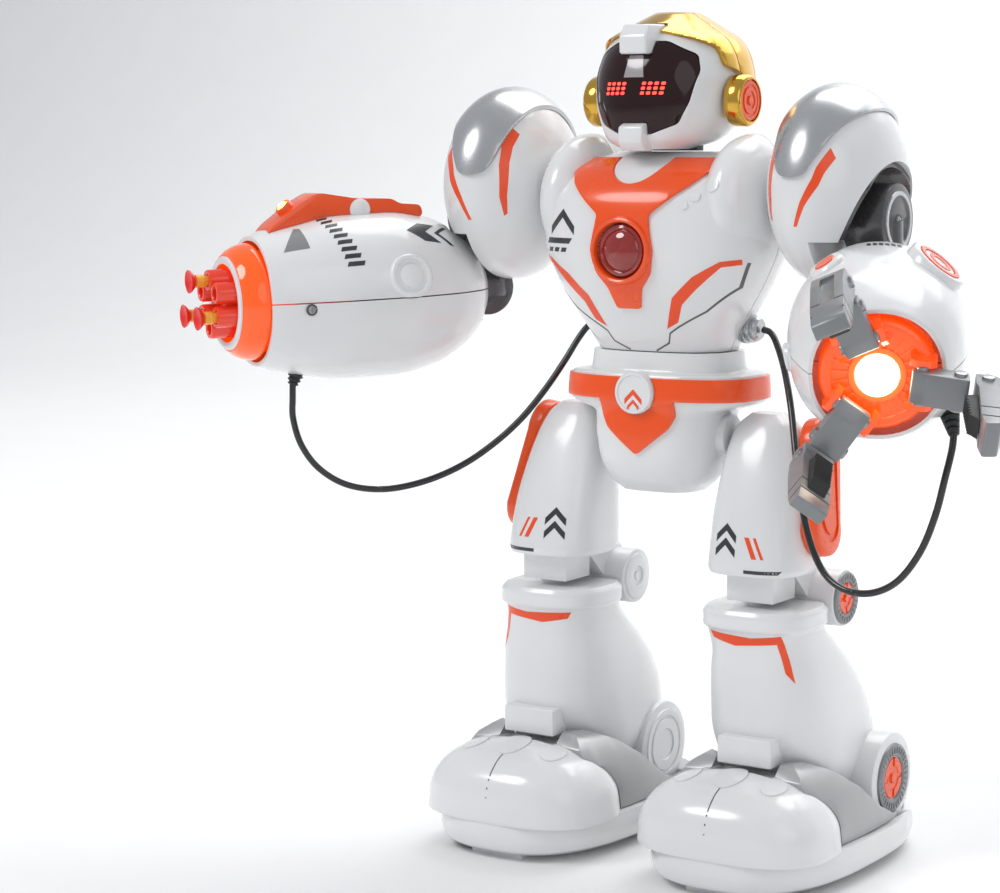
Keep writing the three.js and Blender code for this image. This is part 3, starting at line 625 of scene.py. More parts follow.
def build_torso():
    chest = chest_body()
    for name, shape, print_material, slot in [
        ("chest_slash_left", SLASH, ORANGE_PRINT, "orange_plastic"),
        ("chest_slash_right", [(-x, z) for x, z in SLASH][::-1], ORANGE_PRINT, "orange_plastic"),
        # The seam lines are dark strips of painted shade along the plate's join.
        ("chest_seam_left", line(PLATE_SEAM, 0.7), RECESS_SHADE, "white_plastic"),
        ("chest_seam_right", line([(-x, z) for x, z in PLATE_SEAM], 0.7), RECESS_SHADE, "white_plastic"),
        ("chest_arrow", chevron(-35, 305, 8, 4), DARK_PRINT, "black_plastic"),
        ("chest_bar", bar_shape(-45, 295.5, 17, 2.6, 2), DARK_PRINT, "black_plastic"),
        ("chest_dash_1", bar_shape(-45, 291, 3.4, 2.0, 1), DARK_PRINT, "black_plastic"),
        ("chest_dash_2", bar_shape(-40, 291, 3.4, 2.0, 1), DARK_PRINT, "black_plastic"),
        ("chest_dash_3", bar_shape(-35, 291, 3.4, 2.0, 1), DARK_PRINT, "black_plastic"),
    ]:
        marked(chest, name, shape, ROBOT, print_material, "torso", slot)
    for number, (x, z, radius) in enumerate(((29.9, 311.3, 1.7), (33.9, 315.4, 2.3), (41.6, 320.8, 3.2)), 1):
        marked(chest, f"chest_dot_{number}", disc_shape(x, z, radius), ROBOT, WHITE, "torso", "white_plastic",
               lift=0.7, thick=0.8)

    front = cut(copied(chest, "chest_front"), slab("half", -0.3, FAR), rod("hole", 30, 60, 12.9,
                along_front(0, 0, LENS_Z)))
    finish(front, ROBOT, WHITE, "torso", ["chest_front_shell"])
    hatch = block("hatch", (-24, 24), (33, FAR), (262, 312))
    rear = cut(copied(chest, "chest_rear"), slab("half", -FAR, 0.3), hatch)
    finish(rear, ROBOT, WHITE, "torso", ["chest_rear_shell"])
    cover = cut(loft("battery_hatch", CHEST, CHEST_P), block("room", (-23.5, 23.5), (33.4, FAR), (262.5, 311.5)),
                operation="INTERSECT")
    ridges = [block("ridge", (-12, 12), (30, 60), (z, z + 1.4)) for z in (296, 300, 304)]
    ridges = [cut(ridge, loft("room", CHEST, CHEST_P, 0.8), operation="INTERSECT") for ridge in ridges]
    finish(bevelled(cover, 0.5), ROBOT, WHITE, "torso", ["battery_cover"])
    finish(merged("hatch_ridges", ridges), ROBOT, WHITE, "torso")
    screw("hatch_screw", (0, 39.3, 268), (0, 1, 0), ROBOT, "torso")

    for number, (x, y, z) in enumerate(((40, 35.6, 322), (-40, 35.6, 322), (26, 27.4, 256), (-26, 27.4, 256)), 1):
        screw(f"back_screw_{number}", (x, y, z), (0, 1, 0.1), ROBOT, "torso", 2.6)
    outline = YOKE + [(-x, z) for x, z in reversed(YOKE)]
    yoke = cut(loft("yoke", CHEST, CHEST_P, 1.7), prism("outline", outline, "Y", -80, -1, 1.5),
               operation="INTERSECT")
    yoke = cut(yoke, rod("neckline", 0, 90, 15, along_front(0, 0, 336)), block("above", (-90, 90), (-90, 90),
               (333, 380)), rod("hole", 30, 60, 13, along_front(0, 0, LENS_Z)), copied(chest, "inside"))
    finish(bevelled(yoke, 0.6), ROBOT, ORANGE, "torso", ["chest_yoke"])
    rim = [(41, 12.9), (46.8, 12.9), (47.9, 13.4), (48.3, 14.2), (47.8, 15.1), (46.2, 15.7), (41, 15.9)]
    finish(turned("lens_rim", rim + rim[:1], 64, along_front(0, 0, LENS_Z)), ROBOT, ORANGE, "torso")
    lens = [(36, 12.2), (45, 12.2), (46.4, 11.6), (46.8, 10.4), (46.2, 9.6), (47.4, 8.2), (48.4, 5.8), (49, 3),
            (49.2, 0)]
    finish(turned("chest_red_lens", lens, 64, along_front(0, 0, LENS_Z)), ROBOT, LENS_RED, "torso",
           ["chest_lens"])
    socket = [(35, 6.6), (36.4, 7.1), (38.2, 7.1), (38.6, 6.3), (39.4, 6.3), (39.8, 6.8), (41, 6.6), (41.4, 5.7),
              (42.2, 5.7), (42.6, 6.1), (43.8, 5.5), (44.6, 4.6), (44.6, 0)]
    finish_pair(turned("socket", socket, 40, shift(0, 8, 253) @ turn(90, "Y")), "{}_socket", SILVER, "torso",
                ["{}_cable_socket"])
    build_pauldrons()
    bpy.data.objects.remove(chest)


def build_pauldrons():
    body = cut(ball("pauldron", (88, 0, 319), (29.5, 44, 46), 96, 64),
               block("inner", (-FAR, 61.9), (-FAR, FAR), (0, FAR)),
               block("below", (91, FAR), (-FAR, FAR), (200, 296)),
               block("opening", (91, FAR), (-31, 31), (200, 300)),
               rod("arch", 91, FAR, 31.5, along_x(0, 0, 300), 72))
    body = bevelled(body, 1.1, 40, 3)
    oblique = {"u": (0.66, -0.75, 0), "v": (0, 0, 1)}
    for base, outline, how in [("{}_stripe_inner", INNER_STRIPE, oblique), ("{}_stripe_outer", OUTER_STRIPE, {})]:
        finish_pair(sticker("stripe", body, outline, **how), base, ORANGE_PRINT, "torso")
    arch = cut(rod("arch", 92, 113, 31.1, along_x(0, 0, 300), 72), rod("hole", 80, 130, 28.9, along_x(0, 0, 300), 72),
               block("below", (60, 130), (-60, 60), (200, 297)))
    arch = cut(arch, ball("skin", (88, 0, 319), (28.6, 43, 45), 96, 64), operation="INTERSECT")
    finish_pair(bevelled(arch, 0.5), "{}_shoulder_arch", GUNMETAL, "torso")
    cap = cut(ball("cap", (88, 0, 319), (31.3, 45.8, 47.8), 96, 64), ball("inside", (88, 0, 319),
              (29.8, 44.3, 46.3), 96, 64))
    cap = cut(cap, prism("outline", CAP, "Y", -60, 60, 3), operation="INTERSECT")
    finish_pair(bevelled(cap, 0.6), "{}_silver_cap", SILVER, "torso", ["{}_shoulder_cap"])
    finish_pair(body, "{}_shoulder_shell", WHITE, "torso", ["{}_pauldron"])


# ---- small hardware -----------------------------------------------------------------------------------
def pointing(at, out):
    """Turns a piece that stands up Z so that it points out from a place."""
    return Matrix.Translation(Vector(at)) @ Vector(out).to_track_quat("Z", "Y").to_matrix().to_4x4()


def screw(name, at, out, matrix, body, radius=2.3):
    """A screw in a round recess whose dark colour is painted shade."""
    where = pointing(at, out)
    well = turned(name + "_well", [(-0.2, 0), (-0.2, radius), (0.25, radius), (0.25, radius * 0.86), (0.05, radius * 0.8),
                  (0.05, 0)], 28, where)
    head = turned(name, [(0.02, 0), (0.02, radius * 0.7), (0.4, radius * 0.66), (0.55, radius * 0.4), (0.55, 0)], 24)
    slots = [block("slot", (-radius * 0.5, radius * 0.5), (-0.2, 0.2), (0.2, 2)),
             block("slot", (-0.2, 0.2), (-radius * 0.5, radius * 0.5), (0.2, 2))]
    head = moved(cut(head, *slots), where)
    finish(well, matrix, RECESS_SHADE, body)
    finish(head, matrix, STEEL, body)


# ---- head ---------------------------------------------------------------------------------------------
HELMET = [
    [336.6, 15, 15, -15], [341, 24, 27, -7], [348, 29, 33, -2], [358, 32.5, 37, 1], [368, 33, 38, 2],
    [378, 31, 36.5, 3], [387, 26, 32, 4], [393.5, 17, 22, 5], [397.3, 7, 9, 6],
]
VISOR = [(8, 343.8), (19.5, 348.5), (24, 358), (27, 372), (25, 379.5), (13, 385.5)]
CROWN_SIDE = [(-24, 420), (-24, 389), (-9, 383), (-8, 375), (0, 373), (14, 368), (22, 352), (60, 350), (60, 420)]
EYE_X = (-9.7, 9.7)
EYE_Z = 364.4


def build_head():
    outline = VISOR + [(-x, z) for x, z in reversed(VISOR)]
    skull = loft("skull", HELMET, 2.4)
    brow = prism("brow", [(-36.6, 380), (-37, 388), (-33, 393.6), (-18, 394), (-18, 380)], "X", -7.2, 7.2)
    chin = prism("chin", [(-27, 335.6), (-36, 336), (-39, 340), (-38.4, 347), (-35, 348.6), (-27, 348.6)], "X", -6.4, 6.4)
    face = prism("face", [(x * 1.02, 365 + (z - 365) * 1.025) for x, z in outline], "Y", -80, -18, 2)
    helmet = cut(skull, face)
    helmet = cut(helmet, bevelled(brow, 1.2, 30, 3), bevelled(chin, 1.0, 30, 3), operation="UNION")
    finish(bevelled(helmet, 0.5, 40), ROBOT, WHITE, "head", ["helmet_shell"])

    visor = cut(loft("visor_pane", HELMET, 2.4, -0.4), prism("face", outline, "Y", -80, -16, 2), operation="INTERSECT")
    visor = cut(visor, block("brow", (-7.6, 7.6), (-60, -10), (379.6, 400)),
                block("chin", (-6.8, 6.8), (-60, -10), (330, 349)))
    dots = []
    for centre in EYE_X:
        for column in range(4):
            for row in range(3):
                x = centre + (column - 1.5) * 3 + (row - 1) * 0.5
                z = EYE_Z + (row - 1) * 2.2
                shape = [(x - 1.05, z - 0.65), (x + 0.75, z - 0.65), (x + 1.05, z + 0.65), (x - 0.75, z + 0.65)]
                dots.append(sticker("dot", visor, shape, radius=0.5, lift=0.14, thick=0.12))
    finish(merged("eye_dots", dots), ROBOT, EYE_RED, "head")
    shade = sticker("visor_shade", visor, [(-3.6, 379.4), (3.6, 379.4), (5.2, 369.4), (-5.2, 369.4)])
    finish(shade, ROBOT, SHADE_GLASS, "head")
    finish(bevelled(visor, 0.3), ROBOT, VISOR_TINT, "head", ["visor"])

    crown = cut(loft("crown", HELMET, 2.4, 2.7), loft("inside", HELMET, 2.4, 0.15))
    crown = cut(crown, prism("side", CROWN_SIDE, "X", -60, 60, 1.5), operation="INTERSECT")
    crown = cut(crown, block("brow", (-7.7, 7.7), (-60, 0), (370, 394.4)))
    grooves = [prism("groove", [(y, 340), (y + 0.8, 340), (y + 0.8, 410), (y, 410)], "X", -60, 60) for y in (2, 20)]
    rim = loft("rim", HELMET, 2.4, 2.1)
    for groove in grooves:
        crown = cut(crown, cut(groove, copied(rim, "rim_copy")))
    bpy.data.objects.remove(rim)
    finish(bevelled(crown, 0.45), ROBOT, GOLD, "head", ["helmet_crown"])

    housing = [(33.9, 0), (33.9, 11.6), (34.6, 12), (40.6, 12), (41.6, 11.4), (42.2, 10.6), (42.2, 9.9), (40.8, 9.6),
               (40.8, 0)]
    finish_pair(turned("ear", housing, 56, shift(0, 0, 359) @ turn(90, "Y")), "{}_ear_housing", GOLD, "head",
                ["{}_ear_disc"])
    face = [(40.9, 0), (40.9, 9.3), (41.8, 9.1), (41.8, 7.6), (41.3, 7.4), (41.3, 6.4), (42, 6.2), (42, 4.4), (41.5, 4.2),
            (41.5, 2.4), (42.4, 2.1), (42.4, 0)]
    finish_pair(turned("ear_face", face, 56, shift(0, 0, 359) @ turn(90, "Y")), "{}_ear_face", ORANGE, "head")


# ---- arms ---------------------------------------------------------------------------------------------
LAUNCHER_SHELL = [
    [2, 14, 16], [8, 21, 23], [18, 28.5, 30.5], [32, 34.5, 36.8], [54, 38.2, 40.4], [80, 37.5, 40],
    [100, 34.5, 36.5], [114, 31.5, 33.5], [121, 29, 31],
]
CLAW_SHELL = [
    [2, 16, 19], [8, 23, 26.5], [18, 30, 33], [32, 36, 37.5], [52, 39, 39], [74, 37, 37], [89, 32.5, 32.5],
    [98, 28.5, 28.5],
]
ARM_P = 2.15
FIN = [(-34, 37), (-35, 42.5), (-46, 43.5), (-50, 46), (-68, 46.8), (-88, 50.5), (-97, 46), (-112, 35.5),
       (-118, 28), (-104, 24), (-70, 32)]
LOADED = (1, 3, 5)


def build_upper_arms():
    for side, sign in SIDES:
        x = 108
        drum = rod("drum", x - 11, x + 9, 17, along_x(0, 0, 305), 64, 1.2)
        cone = turned("cone", [(264.5, 13.5), (266, 13.8), (271, 13.3), (278, 12), (286, 10.9), (305, 10.5)], 48,
                      shift(x, 0, 0))
        knuckle = rod("knuckle", -10, 10, 13.5, shift(x, 0, 268.5) @ turn(sign * SPLAY[side], "Z") @ turn(90, "Y"),
                      48, 0.8)
        arm = cut(drum, cone, knuckle, operation="UNION")
        ring = [(x + 8.9, 13.4), (x + 9.7, 13.2), (x + 9.7, 11.4), (x + 8.9, 11.2)]
        trim = turned("trim", ring + ring[:1], 56, shift(0, 0, 305) @ turn(90, "Y"))
        matrix = ROBOT @ MIRROR[sign]
        arm.name, trim.name = f"{side}_arm_core", f"{side}_arm_trim"
        finish(arm, matrix, GUNMETAL, f"{side}_upper_arm", [f"{side}_upper_arm"])
        finish(trim, matrix, SILVER, f"{side}_upper_arm")
        screw(f"{side}_arm_screw", (x + 9, 0, 305), (1, 0, 0), matrix, f"{side}_upper_arm", 3)


def radial(s, angle):
    """A sticker's plane on a forearm: u runs forward along it and v round it."""
    out = Vector((math.cos(math.radians(angle)), 0, math.sin(math.radians(angle))))
    u = Vector((0, -1, 0))
    return {"at": (0, -s, 0), "u": u, "v": out.cross(u)}


def boss(name, s, angle, profile, around=56):
    """A turned boss that stands on a forearm. Its heights are distances from the arm's axis."""
    return turned(name, profile, around, shift(0, -s, 0) @ turn(90 - angle, "Y"))


def forearm_shells(prefix, rows, side, bosses):
    opened = [list(row) for row in rows]
    opened[-1][0] += 6.6
    outer = moved(loft("outer", rows, ARM_P), FORWARD)
    guide = copied(outer, "guide")
    shell = cut(outer, *bosses, operation="UNION")
    hollow = cut(moved(loft("hollow", opened, ARM_P, -2.8), FORWARD), block("rear", (-FAR, FAR), (-82, FAR), (-FAR, FAR)))
    shell = cut(shell, hollow, block("slot", (-15.5, 15.5), (-23, FAR), (-15.5, FAR)))
    shell = bevelled(shell, 0.5, 40)
    lower = cut(copied(shell, f"{prefix}_lower"), block("top", (-FAR, FAR), (-FAR, FAR), (-0.3, FAR)))
    upper = cut(shell, block("bottom", (-FAR, FAR), (-FAR, FAR), (-FAR, 0.3)))
    upper.name = f"{prefix}_upper"
    for piece, half in ((upper, "upper"), (lower, "lower")):
        finish(piece, ARM[side], WHITE, prefix, [f"{prefix}_{half}_shell"])
    return guide


def relief(name, start, end, body):
    """A ribbed black strain relief that tapers from a forearm's shell to the cable's end."""
    start, end = Vector(start), Vector(end)
    length = (end - start).length
    profile = [(0, 0), (0, 4.8)]
    for k in range(4):
        height, radius = length * (0.3 + k * 0.18), 4.6 - k * 0.55
        profile += [(height, radius), (height + 0.2, radius - 0.7), (height + 0.9, radius - 0.7),
                    (height + 1.1, radius - 0.15)]
    profile += [(length, 2.4), (length, 0)]
    finish(turned(name, profile, 32, pointing(start, end - start)), ROBOT, BLACK, body)


def build_launcher():
    arm = ARM["right"]
    knob = boss("knob", 54, 15, [(30, 0), (30, 11), (39.6, 10.8), (40.6, 10), (40.6, 8.4), (39.6, 8), (39.6, 6),
                                 (40.4, 5.6), (40.4, 0)])
    guide = forearm_shells("launcher", LAUNCHER_SHELL, "right", [knob])
    for k in range(9):
        outline = [(-2.6 - k * 0.2, -1.15), (2.6 + k * 0.2, -1.15), (3.6 + k * 0.2, 1.15), (-1.6 - k * 0.2, 1.15)]
        marked(guide, f"launcher_dash_{k + 1}", outline, arm, DARK_PRINT, "launcher", "black_plastic",
               **radial(87.3 - k * 0.95, 74 - k * 5.9))
    arrow = [(-9, -6), (0, -6), (8, 0), (0, 6), (-9, 6), (-2, 0)]
    marked(guide, "launcher_arrow", arrow, arm, DARK_PRINT, "launcher", "black_plastic", **radial(42, 51))
    marked(guide, "launcher_bar", [(-12.5, -6), (-10, -6), (-3, 0), (-10, 6), (-12.5, 6), (-5.5, 0)], arm, DARK_PRINT,
           "launcher", "black_plastic", **radial(38, 51))
    wedge = [(-7, 8), (5.5, 7), (-4, -8), (-6.5, -7)]
    marked(guide, "launcher_wedge", wedge, arm, GREY_PRINT, "launcher", "grey_plastic", **radial(107, 57))
    screw("launcher_screw", (34.1, -103.6, -3.1), (1, 0, 0), arm, "launcher", 2.8)
    screw("launcher_screw_outer", (-37.8, -80, -12), (-1, 0, -0.25), arm, "launcher", 2.6)
    bpy.data.objects.remove(guide)
    relief("launcher_gland", (-157.6, -83.2, 234.5), (-159.7, -86, 223.6), "launcher")

    blade = prism("launcher_blade", FIN, "X", -9, 9, 3)
    blade = bevelled(cut(blade, moved(loft("outer", LAUNCHER_SHELL, ARM_P, 0.15), FORWARD)), 1.3, 30, 3)
    finish(blade, arm, ORANGE, "launcher", ["launcher_fin"])
    button = turned("fin_button", [(8.2, 0), (8.2, 5.4), (9.4, 5.2), (10.2, 4.2), (10.7, 2.4), (10.8, 0)], 40)
    button = moved(button, shift(0, -67, 41.5) @ turn(90, "Y"))
    finish(button, arm, WHITE, "launcher")
    ring = [(0, 4.4), (2.6, 4.2), (3.2, 3.6), (2.6, 3.0), (0, 3.0)]
    nose = pointing((0, -101.6, 42.8), (0, -1, 1.1))
    finish(turned("sight_rim", ring + ring[:1], 36, nose), arm, ORANGE, "launcher")
    finish(turned("sight_light", [(0.4, 0), (0.4, 2.9), (2.6, 2.6), (3.8, 1.6), (4.2, 0)], 32, nose), arm, SIGHT_LED,
           "launcher")

    amber = [(108, 18.8), (108, 24.5), (121.4, 24.5), (121.4, 27.6), (122, 28), (124, 28), (128, 27), (131.4, 25.2),
             (133.4, 23.2), (133.4, 18.8)]
    finish(turned("amber_ring", amber + amber[:1], 96, FORWARD), arm, AMBER, "launcher",
           ["muzzle_ring"])
    lip = [(133.6, 18.8), (133.6, 22.4), (134.4, 22.2), (135, 21.4), (135, 19.8), (134.6, 18.8)]
    finish(turned("muzzle_lip", lip + lip[:1], 96, FORWARD), arm, WHITE, "launcher")
    tubes = [rod("floor", 86, 90, 17.6, FORWARD, 64), rod("core", 90.1, 136, 5.9, FORWARD, 32, 1)]
    for index in range(6):
        angle = math.radians((index + 0.5) * 60)
        x, z = 11.3 * math.cos(angle), 11.3 * math.sin(angle)
        wall = [(90.1, 3.1), (90.1, 5.1), (142.4, 5.1), (143, 4.7), (143, 3.5), (142.6, 3.1)]
        tubes.append(turned("tube", wall + wall[:1], 32, shift(x, 0, z) @ FORWARD))
        if index in LOADED:
            dart(LOADED.index(index) + 1, arm, shift(x, 0, z) @ FORWARD)
    finish(merged("barrel_tubes", tubes), arm, BARREL_RED, "launcher", ["barrel_cluster"])


def dart(number, arm, where):
    body = f"dart_{number}"
    shaft = turned(f"{body}_shaft", [(96, 0), (96, 2.1), (96.6, 2.4), (144.6, 2.4), (145, 3.1), (148.6, 3.1), (149, 2.6),
                                     (149, 0)], 28, where)
    finish(shaft, arm, DART_YELLOW, body, [body])
    cup = [(149.1, 0), (149.1, 2.8), (149.8, 3.8), (151.2, 5.3), (152, 5.6), (152, 5.2), (151, 4.2), (150.4, 0)]
    finish(turned(f"{body}_cup", cup, 36, where), arm, DART_RED, body)


PROXIMAL = [(-101.8, 14), (-108, 13.5), (-111, 20), (-113, 37.2), (-102.5, 37.2), (-101.2, 26)]
DISTAL = [(-103, 39.5), (-103, 47), (-107, 51), (-120, 51.5), (-146, 50), (-158, 48), (-160, 42), (-150, 40.5),
          (-118, 40.5), (-115, 39.5)]
FINGER_ANGLES = (114, 234, 354)


def build_claw():
    arm = ARM["left"]
    target = boss("target", 46, 52, [(30, 0), (30, 14), (41, 13.8), (42, 13), (42, 10.6), (41, 10.2), (41, 8), (42, 7.6),
                                     (42, 0)])
    side_knob = boss("side_knob", 52, 124, [(30, 0), (30, 9), (40.4, 8.4), (41.4, 7.4), (41.4, 0)])
    low_knob = boss("low_knob", 52, 193, [(30, 0), (30, 7), (40, 6.4), (40.9, 5.4), (40.9, 0)])
    guide = forearm_shells("claw", CLAW_SHELL, "left", [target, side_knob, low_knob])
    for k in range(6):
        shape = [(-2.2, -0.9), (2.2, -0.9), (2.9, 0.9), (-1.5, 0.9)]
        marked(guide, f"claw_dash_{k + 1}", shape, arm, DARK_PRINT, "claw", "black_plastic", **radial(36, 97 - k * 4))
    bpy.data.objects.remove(guide)
    relief("claw_gland", (160, -41, 229.5), (167.1, -49.3, 216.8), "claw")
    for number, (outer, inner) in enumerate(((10.1, 8.1), (5.6, 3.6)), 1):
        band = [(41, outer), (42.3, outer), (42.3, inner), (41, inner)]
        finish(boss(f"target_band_{number}", 46, 52, band + band[:1]), arm, ORANGE, "claw")
    finish(boss("side_knob_cap", 52, 124, [(41.2, 0), (41.2, 5), (42, 4.6), (42, 0)]), arm, ORANGE, "claw")

    hub = [(84, 9.6), (84, 24), (85, 24.6), (96, 24.6), (97.6, 23.6), (98.5, 22), (98.5, 19.6), (97.7, 19.2),
           (97.7, 12.4), (98.5, 12), (98.5, 9.6)]
    pieces = [turned("hub", hub + hub[:1], 96, FORWARD)]
    for k in range(24):
        spoke = block("spoke", (-0.5, 0.5), (-98.4, -97.5), (12.2, 19.4))
        pieces.append(moved(spoke, turn(k * 15 + 5, "Y")))
    for angle in FINGER_ANGLES:
        for x in ((-11, -8), (8, 11)):
            ear = prism("ear", [(-94, 12.5), (-104, 12.5), (-106.5, 15), (-106.5, 21), (-104, 23.5), (-94, 23.5)], "X", *x)
            pieces.append(moved(ear, turn(90 - angle, "Y")))
    finish(merged("palm_disc", pieces), arm, AMBER, "claw", ["palm_hub"])
    lamp = [(98, 0), (98, 9), (101, 8.6), (103.4, 6.8), (104.8, 4.2), (105.5, 0)]
    finish(turned("lamp_bulb", lamp, 48, FORWARD), arm, LAMP, "claw", ["palm_lamp"])
    for number, angle in enumerate(FINGER_ANGLES, 1):
        build_finger(number, arm, turn(90 - angle, "Y"))


def build_finger(number, arm, stand):
    link = bevelled(prism("link", PROXIMAL, "X", -7.2, 7.2, 1.5), 0.9, 25, 2)
    tip = bevelled(prism("tip", DISTAL, "X", -7.2, 7.2, 1.5), 1.1, 25, 2)
    tip = cut(tip, bevelled(prism("pocket", [(-112, 60), (-112, 49.6), (-140, 48.6), (-150, 60)], "X", -3.2, 3.2), 0.4))
    for y in (-141.5, -151.5):
        band = cut(block("band", (-9, 9), (y, y + 1.2), (38, 54)), block("core", (-6.3, 6.3), (y - 1, y + 3), (41.6, 49.6)))
        tip = cut(tip, band)
    teeth = [(-120, 40.2)]
    for k in range(8):
        y = -122 - k * 3.1
        teeth += [(y, 35.1 + k * 0.14), (y - 1.6, 36.6 + k * 0.14)]
    teeth += [(-149, 40.2)]
    pad = prism("pad", teeth, "X", -4.2, 4.2)
    pins = [rod("pin", -8.6, 8.6, 2.7, shift(0, y, z) @ turn(90, "Y"), 28, 0.5) for y, z in ((-104.8, 18), (-107.5, 33.4))]
    tip_pin = rod("tip_pin", -8.4, 8.4, 2.7, shift(0, -108, 44.6) @ turn(90, "Y"), 28, 0.5)
    body, tip_body = f"finger_{number}", f"fingertip_{number}"
    matrix = arm @ stand
    for piece, name, material, owner, slot, nodes in [
        (link, "link", GREY, body, "grey_plastic", [f"{body}_proximal"]),
        (tip, "tip", GREY, tip_body, "grey_plastic", [f"{body}_distal"]),
        (pad, "grip", RUBBER, tip_body, "black_rubber", [f"{body}_pad"]),
        (merged("pins", pins), "pins", STEEL, body, "grey_plastic", []),
        (tip_pin, "tip_pin", STEEL, tip_body, "grey_plastic", []),
    ]:
        piece.name = f"{body}_{name}"
        finish(piece, matrix, material, owner, nodes)


# ---- pelvis and legs ----------------------------------------------------------------------------------
PELVIS = [
    [176, 19, 16, -3], [182, 25, 22, -3], [192, 29, 26.5, -3], [204, 31, 28.5, -2], [213, 32, 29, -1],
    [218, 45, 30, 0], [220, 47, 31, 0], [232, 46, 30, 0], [233.5, 37, 26.5, 0], [242.5, 35.5, 25, 0],
]
PLATE = [(20, 226), (19.4, 213), (16, 207), (0, 194.6)]
THIGH = [
    [142, 22.5, 24, -6, 55], [145, 23.5, 25, -5.5, 55], [165, 22.5, 23.5, -3.5, 54.5], [185, 20, 20, -0.5, 53.5],
    [200, 17, 16.5, 2, 52.5], [209, 13.5, 12.5, 3, 52], [214.5, 7.5, 7, 3, 52],
]
SHIN = [
    [36, 26, 32, 30, 59], [42, 29, 38, 27, 59], [52, 31, 43, 24, 59], [66, 31, 45, 19, 58.5], [80, 30, 43, 15, 58],
    [95, 28, 37, 8, 57.5], [106, 25.5, 30, 1, 57], [115, 25, 25.5, -5, 56], [118, 27, 27, -6, 56],
    [123, 27, 27, -6, 56], [126, 25, 25, -6.5, 56],
]
SOLE = [[3.2, 43, 76, 11, 59], [6, 47, 80, 11, 59], [12, 48.5, 81, 11, 59], [19, 47.5, 80.5, 11, 59]]
TOE = [
    [18, 47, 34.5, -35.5, 59], [29, 46, 33.5, -36, 59], [39, 41, 29.5, -37, 59], [46, 33, 22.5, -37, 59],
    [50.5, 21, 14, -34, 59], [52.5, 9, 6, -32, 59],
]
DECK_PROFILE = [(-34, 19.6), (-34, 50), (-27, 56), (-18, 56.5), (-4, 50), (10, 40), (24, 29), (40, 22), (87, 20.6),
                (87, 19.6)]
DECK_PLAN = [[19.6, 44, 78, 11, 59], [28, 44, 78, 11, 59], [42, 40, 76, 10, 59], [52, 32, 68, 8, 59],
             [58, 22, 58, 6, 59]]
THIGH_MARKS = [
    ("thigh_arrow", chevron(46.5, 163, 5.4, 3.4), DARK_PRINT),
    ("thigh_arrow_low", chevron(46.5, 156.5, 5.4, 3.4), DARK_PRINT),
    ("thigh_bar", [(57, 145.2), (74, 145.2), (72.5, 143.6), (57, 143.6)], DARK_PRINT),
    ("thigh_slash", [(56, 160), (58.4, 160), (63, 150.4), (60.6, 150.4)], ORANGE_PRINT),
    ("thigh_slash_two", [(60.4, 160), (61.8, 160), (66.4, 150.4), (65, 150.4)], ORANGE_PRINT),
]
SHIN_STRIPE = [(38, 115.2), (61.2, 113.8), (74.5, 115.4), (78.2, 99.3), (79.6, 93), (76, 98.1), (72.6, 111.4),
               (60.8, 110.3), (52.7, 109.4), (40, 111.9)]


def dial(matrix_out, radius, names, body, size):
    """A dial on the end of a drum: a dark ticked ring with an orange centre."""
    ring = [(0, radius), (1.1, radius - 0.3), (1.5, radius - 1), (1.3, radius * 0.66), (0.7, radius * 0.62),
            (0, radius * 0.62)]
    dark = [turned("ring", ring + ring[:1], 72)]
    for k in range(size):
        tick = block("tick", (radius * 0.72, radius * 0.9), (-0.35, 0.35), (1.1, 1.75))
        dark.append(moved(tick, turn(k * 360 / size, "Z")))
    centre = turned("centre", [(0, 0), (0, radius * 0.6), (0.9, radius * 0.56), (0.9, radius * 0.36), (0.4, radius * 0.33),
                               (0.4, radius * 0.16), (1.3, radius * 0.14), (1.3, 0)], 56)
    slots = [moved(block("slot", (radius * 0.3, radius), (-radius * 0.07, radius * 0.07), (0.3, 3)), turn(a, "Z"))
             for a in (0, 90, 180, 270)]
    centre = cut(centre, *slots)
    finish_pair(moved(merged("dial", dark), matrix_out), names + "_dial", GREY, body)
    finish_pair(moved(centre, matrix_out), names + "_dial_centre", ORANGE, body)


def build_pelvis():
    shell = loft("pelvis", PELVIS, 2.9, 0)
    hips = [rod("hip", 20, 34.6, 10, MIRROR[s] @ along_x(0, 0, 203), 40, 0.8) for s in (1, -1)]
    shell = cut(shell, *hips, operation="UNION")
    finish(shell, ROBOT, WHITE, "torso", ["pelvis_shell"])
    outline = PLATE + [(-x, z) for x, z in reversed(PLATE)][1:]
    shape = cut(block("band", (-60, 60), (-60, 60), (220.5, 231)), prism("plate", outline, "Y", -60, -5, 2),
                operation="UNION")
    belt = cut(loft("belt", PELVIS, 2.9, 1.5), shape, operation="INTERSECT")
    belt = cut(belt, loft("inside", PELVIS, 2.9, 0.1), rod("hole", 20, 60, 10.4, along_front(0, 0, 224)))
    finish(bevelled(belt, 0.45), ROBOT, ORANGE, "torso", ["belt_trim"])
    badge = [(20, 0), (20, 10), (33.8, 10), (34.6, 9.4), (34.6, 8.4), (34, 8.1), (34, 0)]
    badge = turned("badge", badge, 56, along_front(0, 0, 224))
    star = sticker("badge_mark", badge, chevron(0, 223.4, 4.6, 2.6))
    low_star = sticker("badge_mark_low", badge, chevron(0, 219.4, 3, 1.8))
    for piece in (star, low_star):
        finish(piece, ROBOT, ORANGE_PRINT, "torso")
    finish(badge, ROBOT, WHITE, "torso")


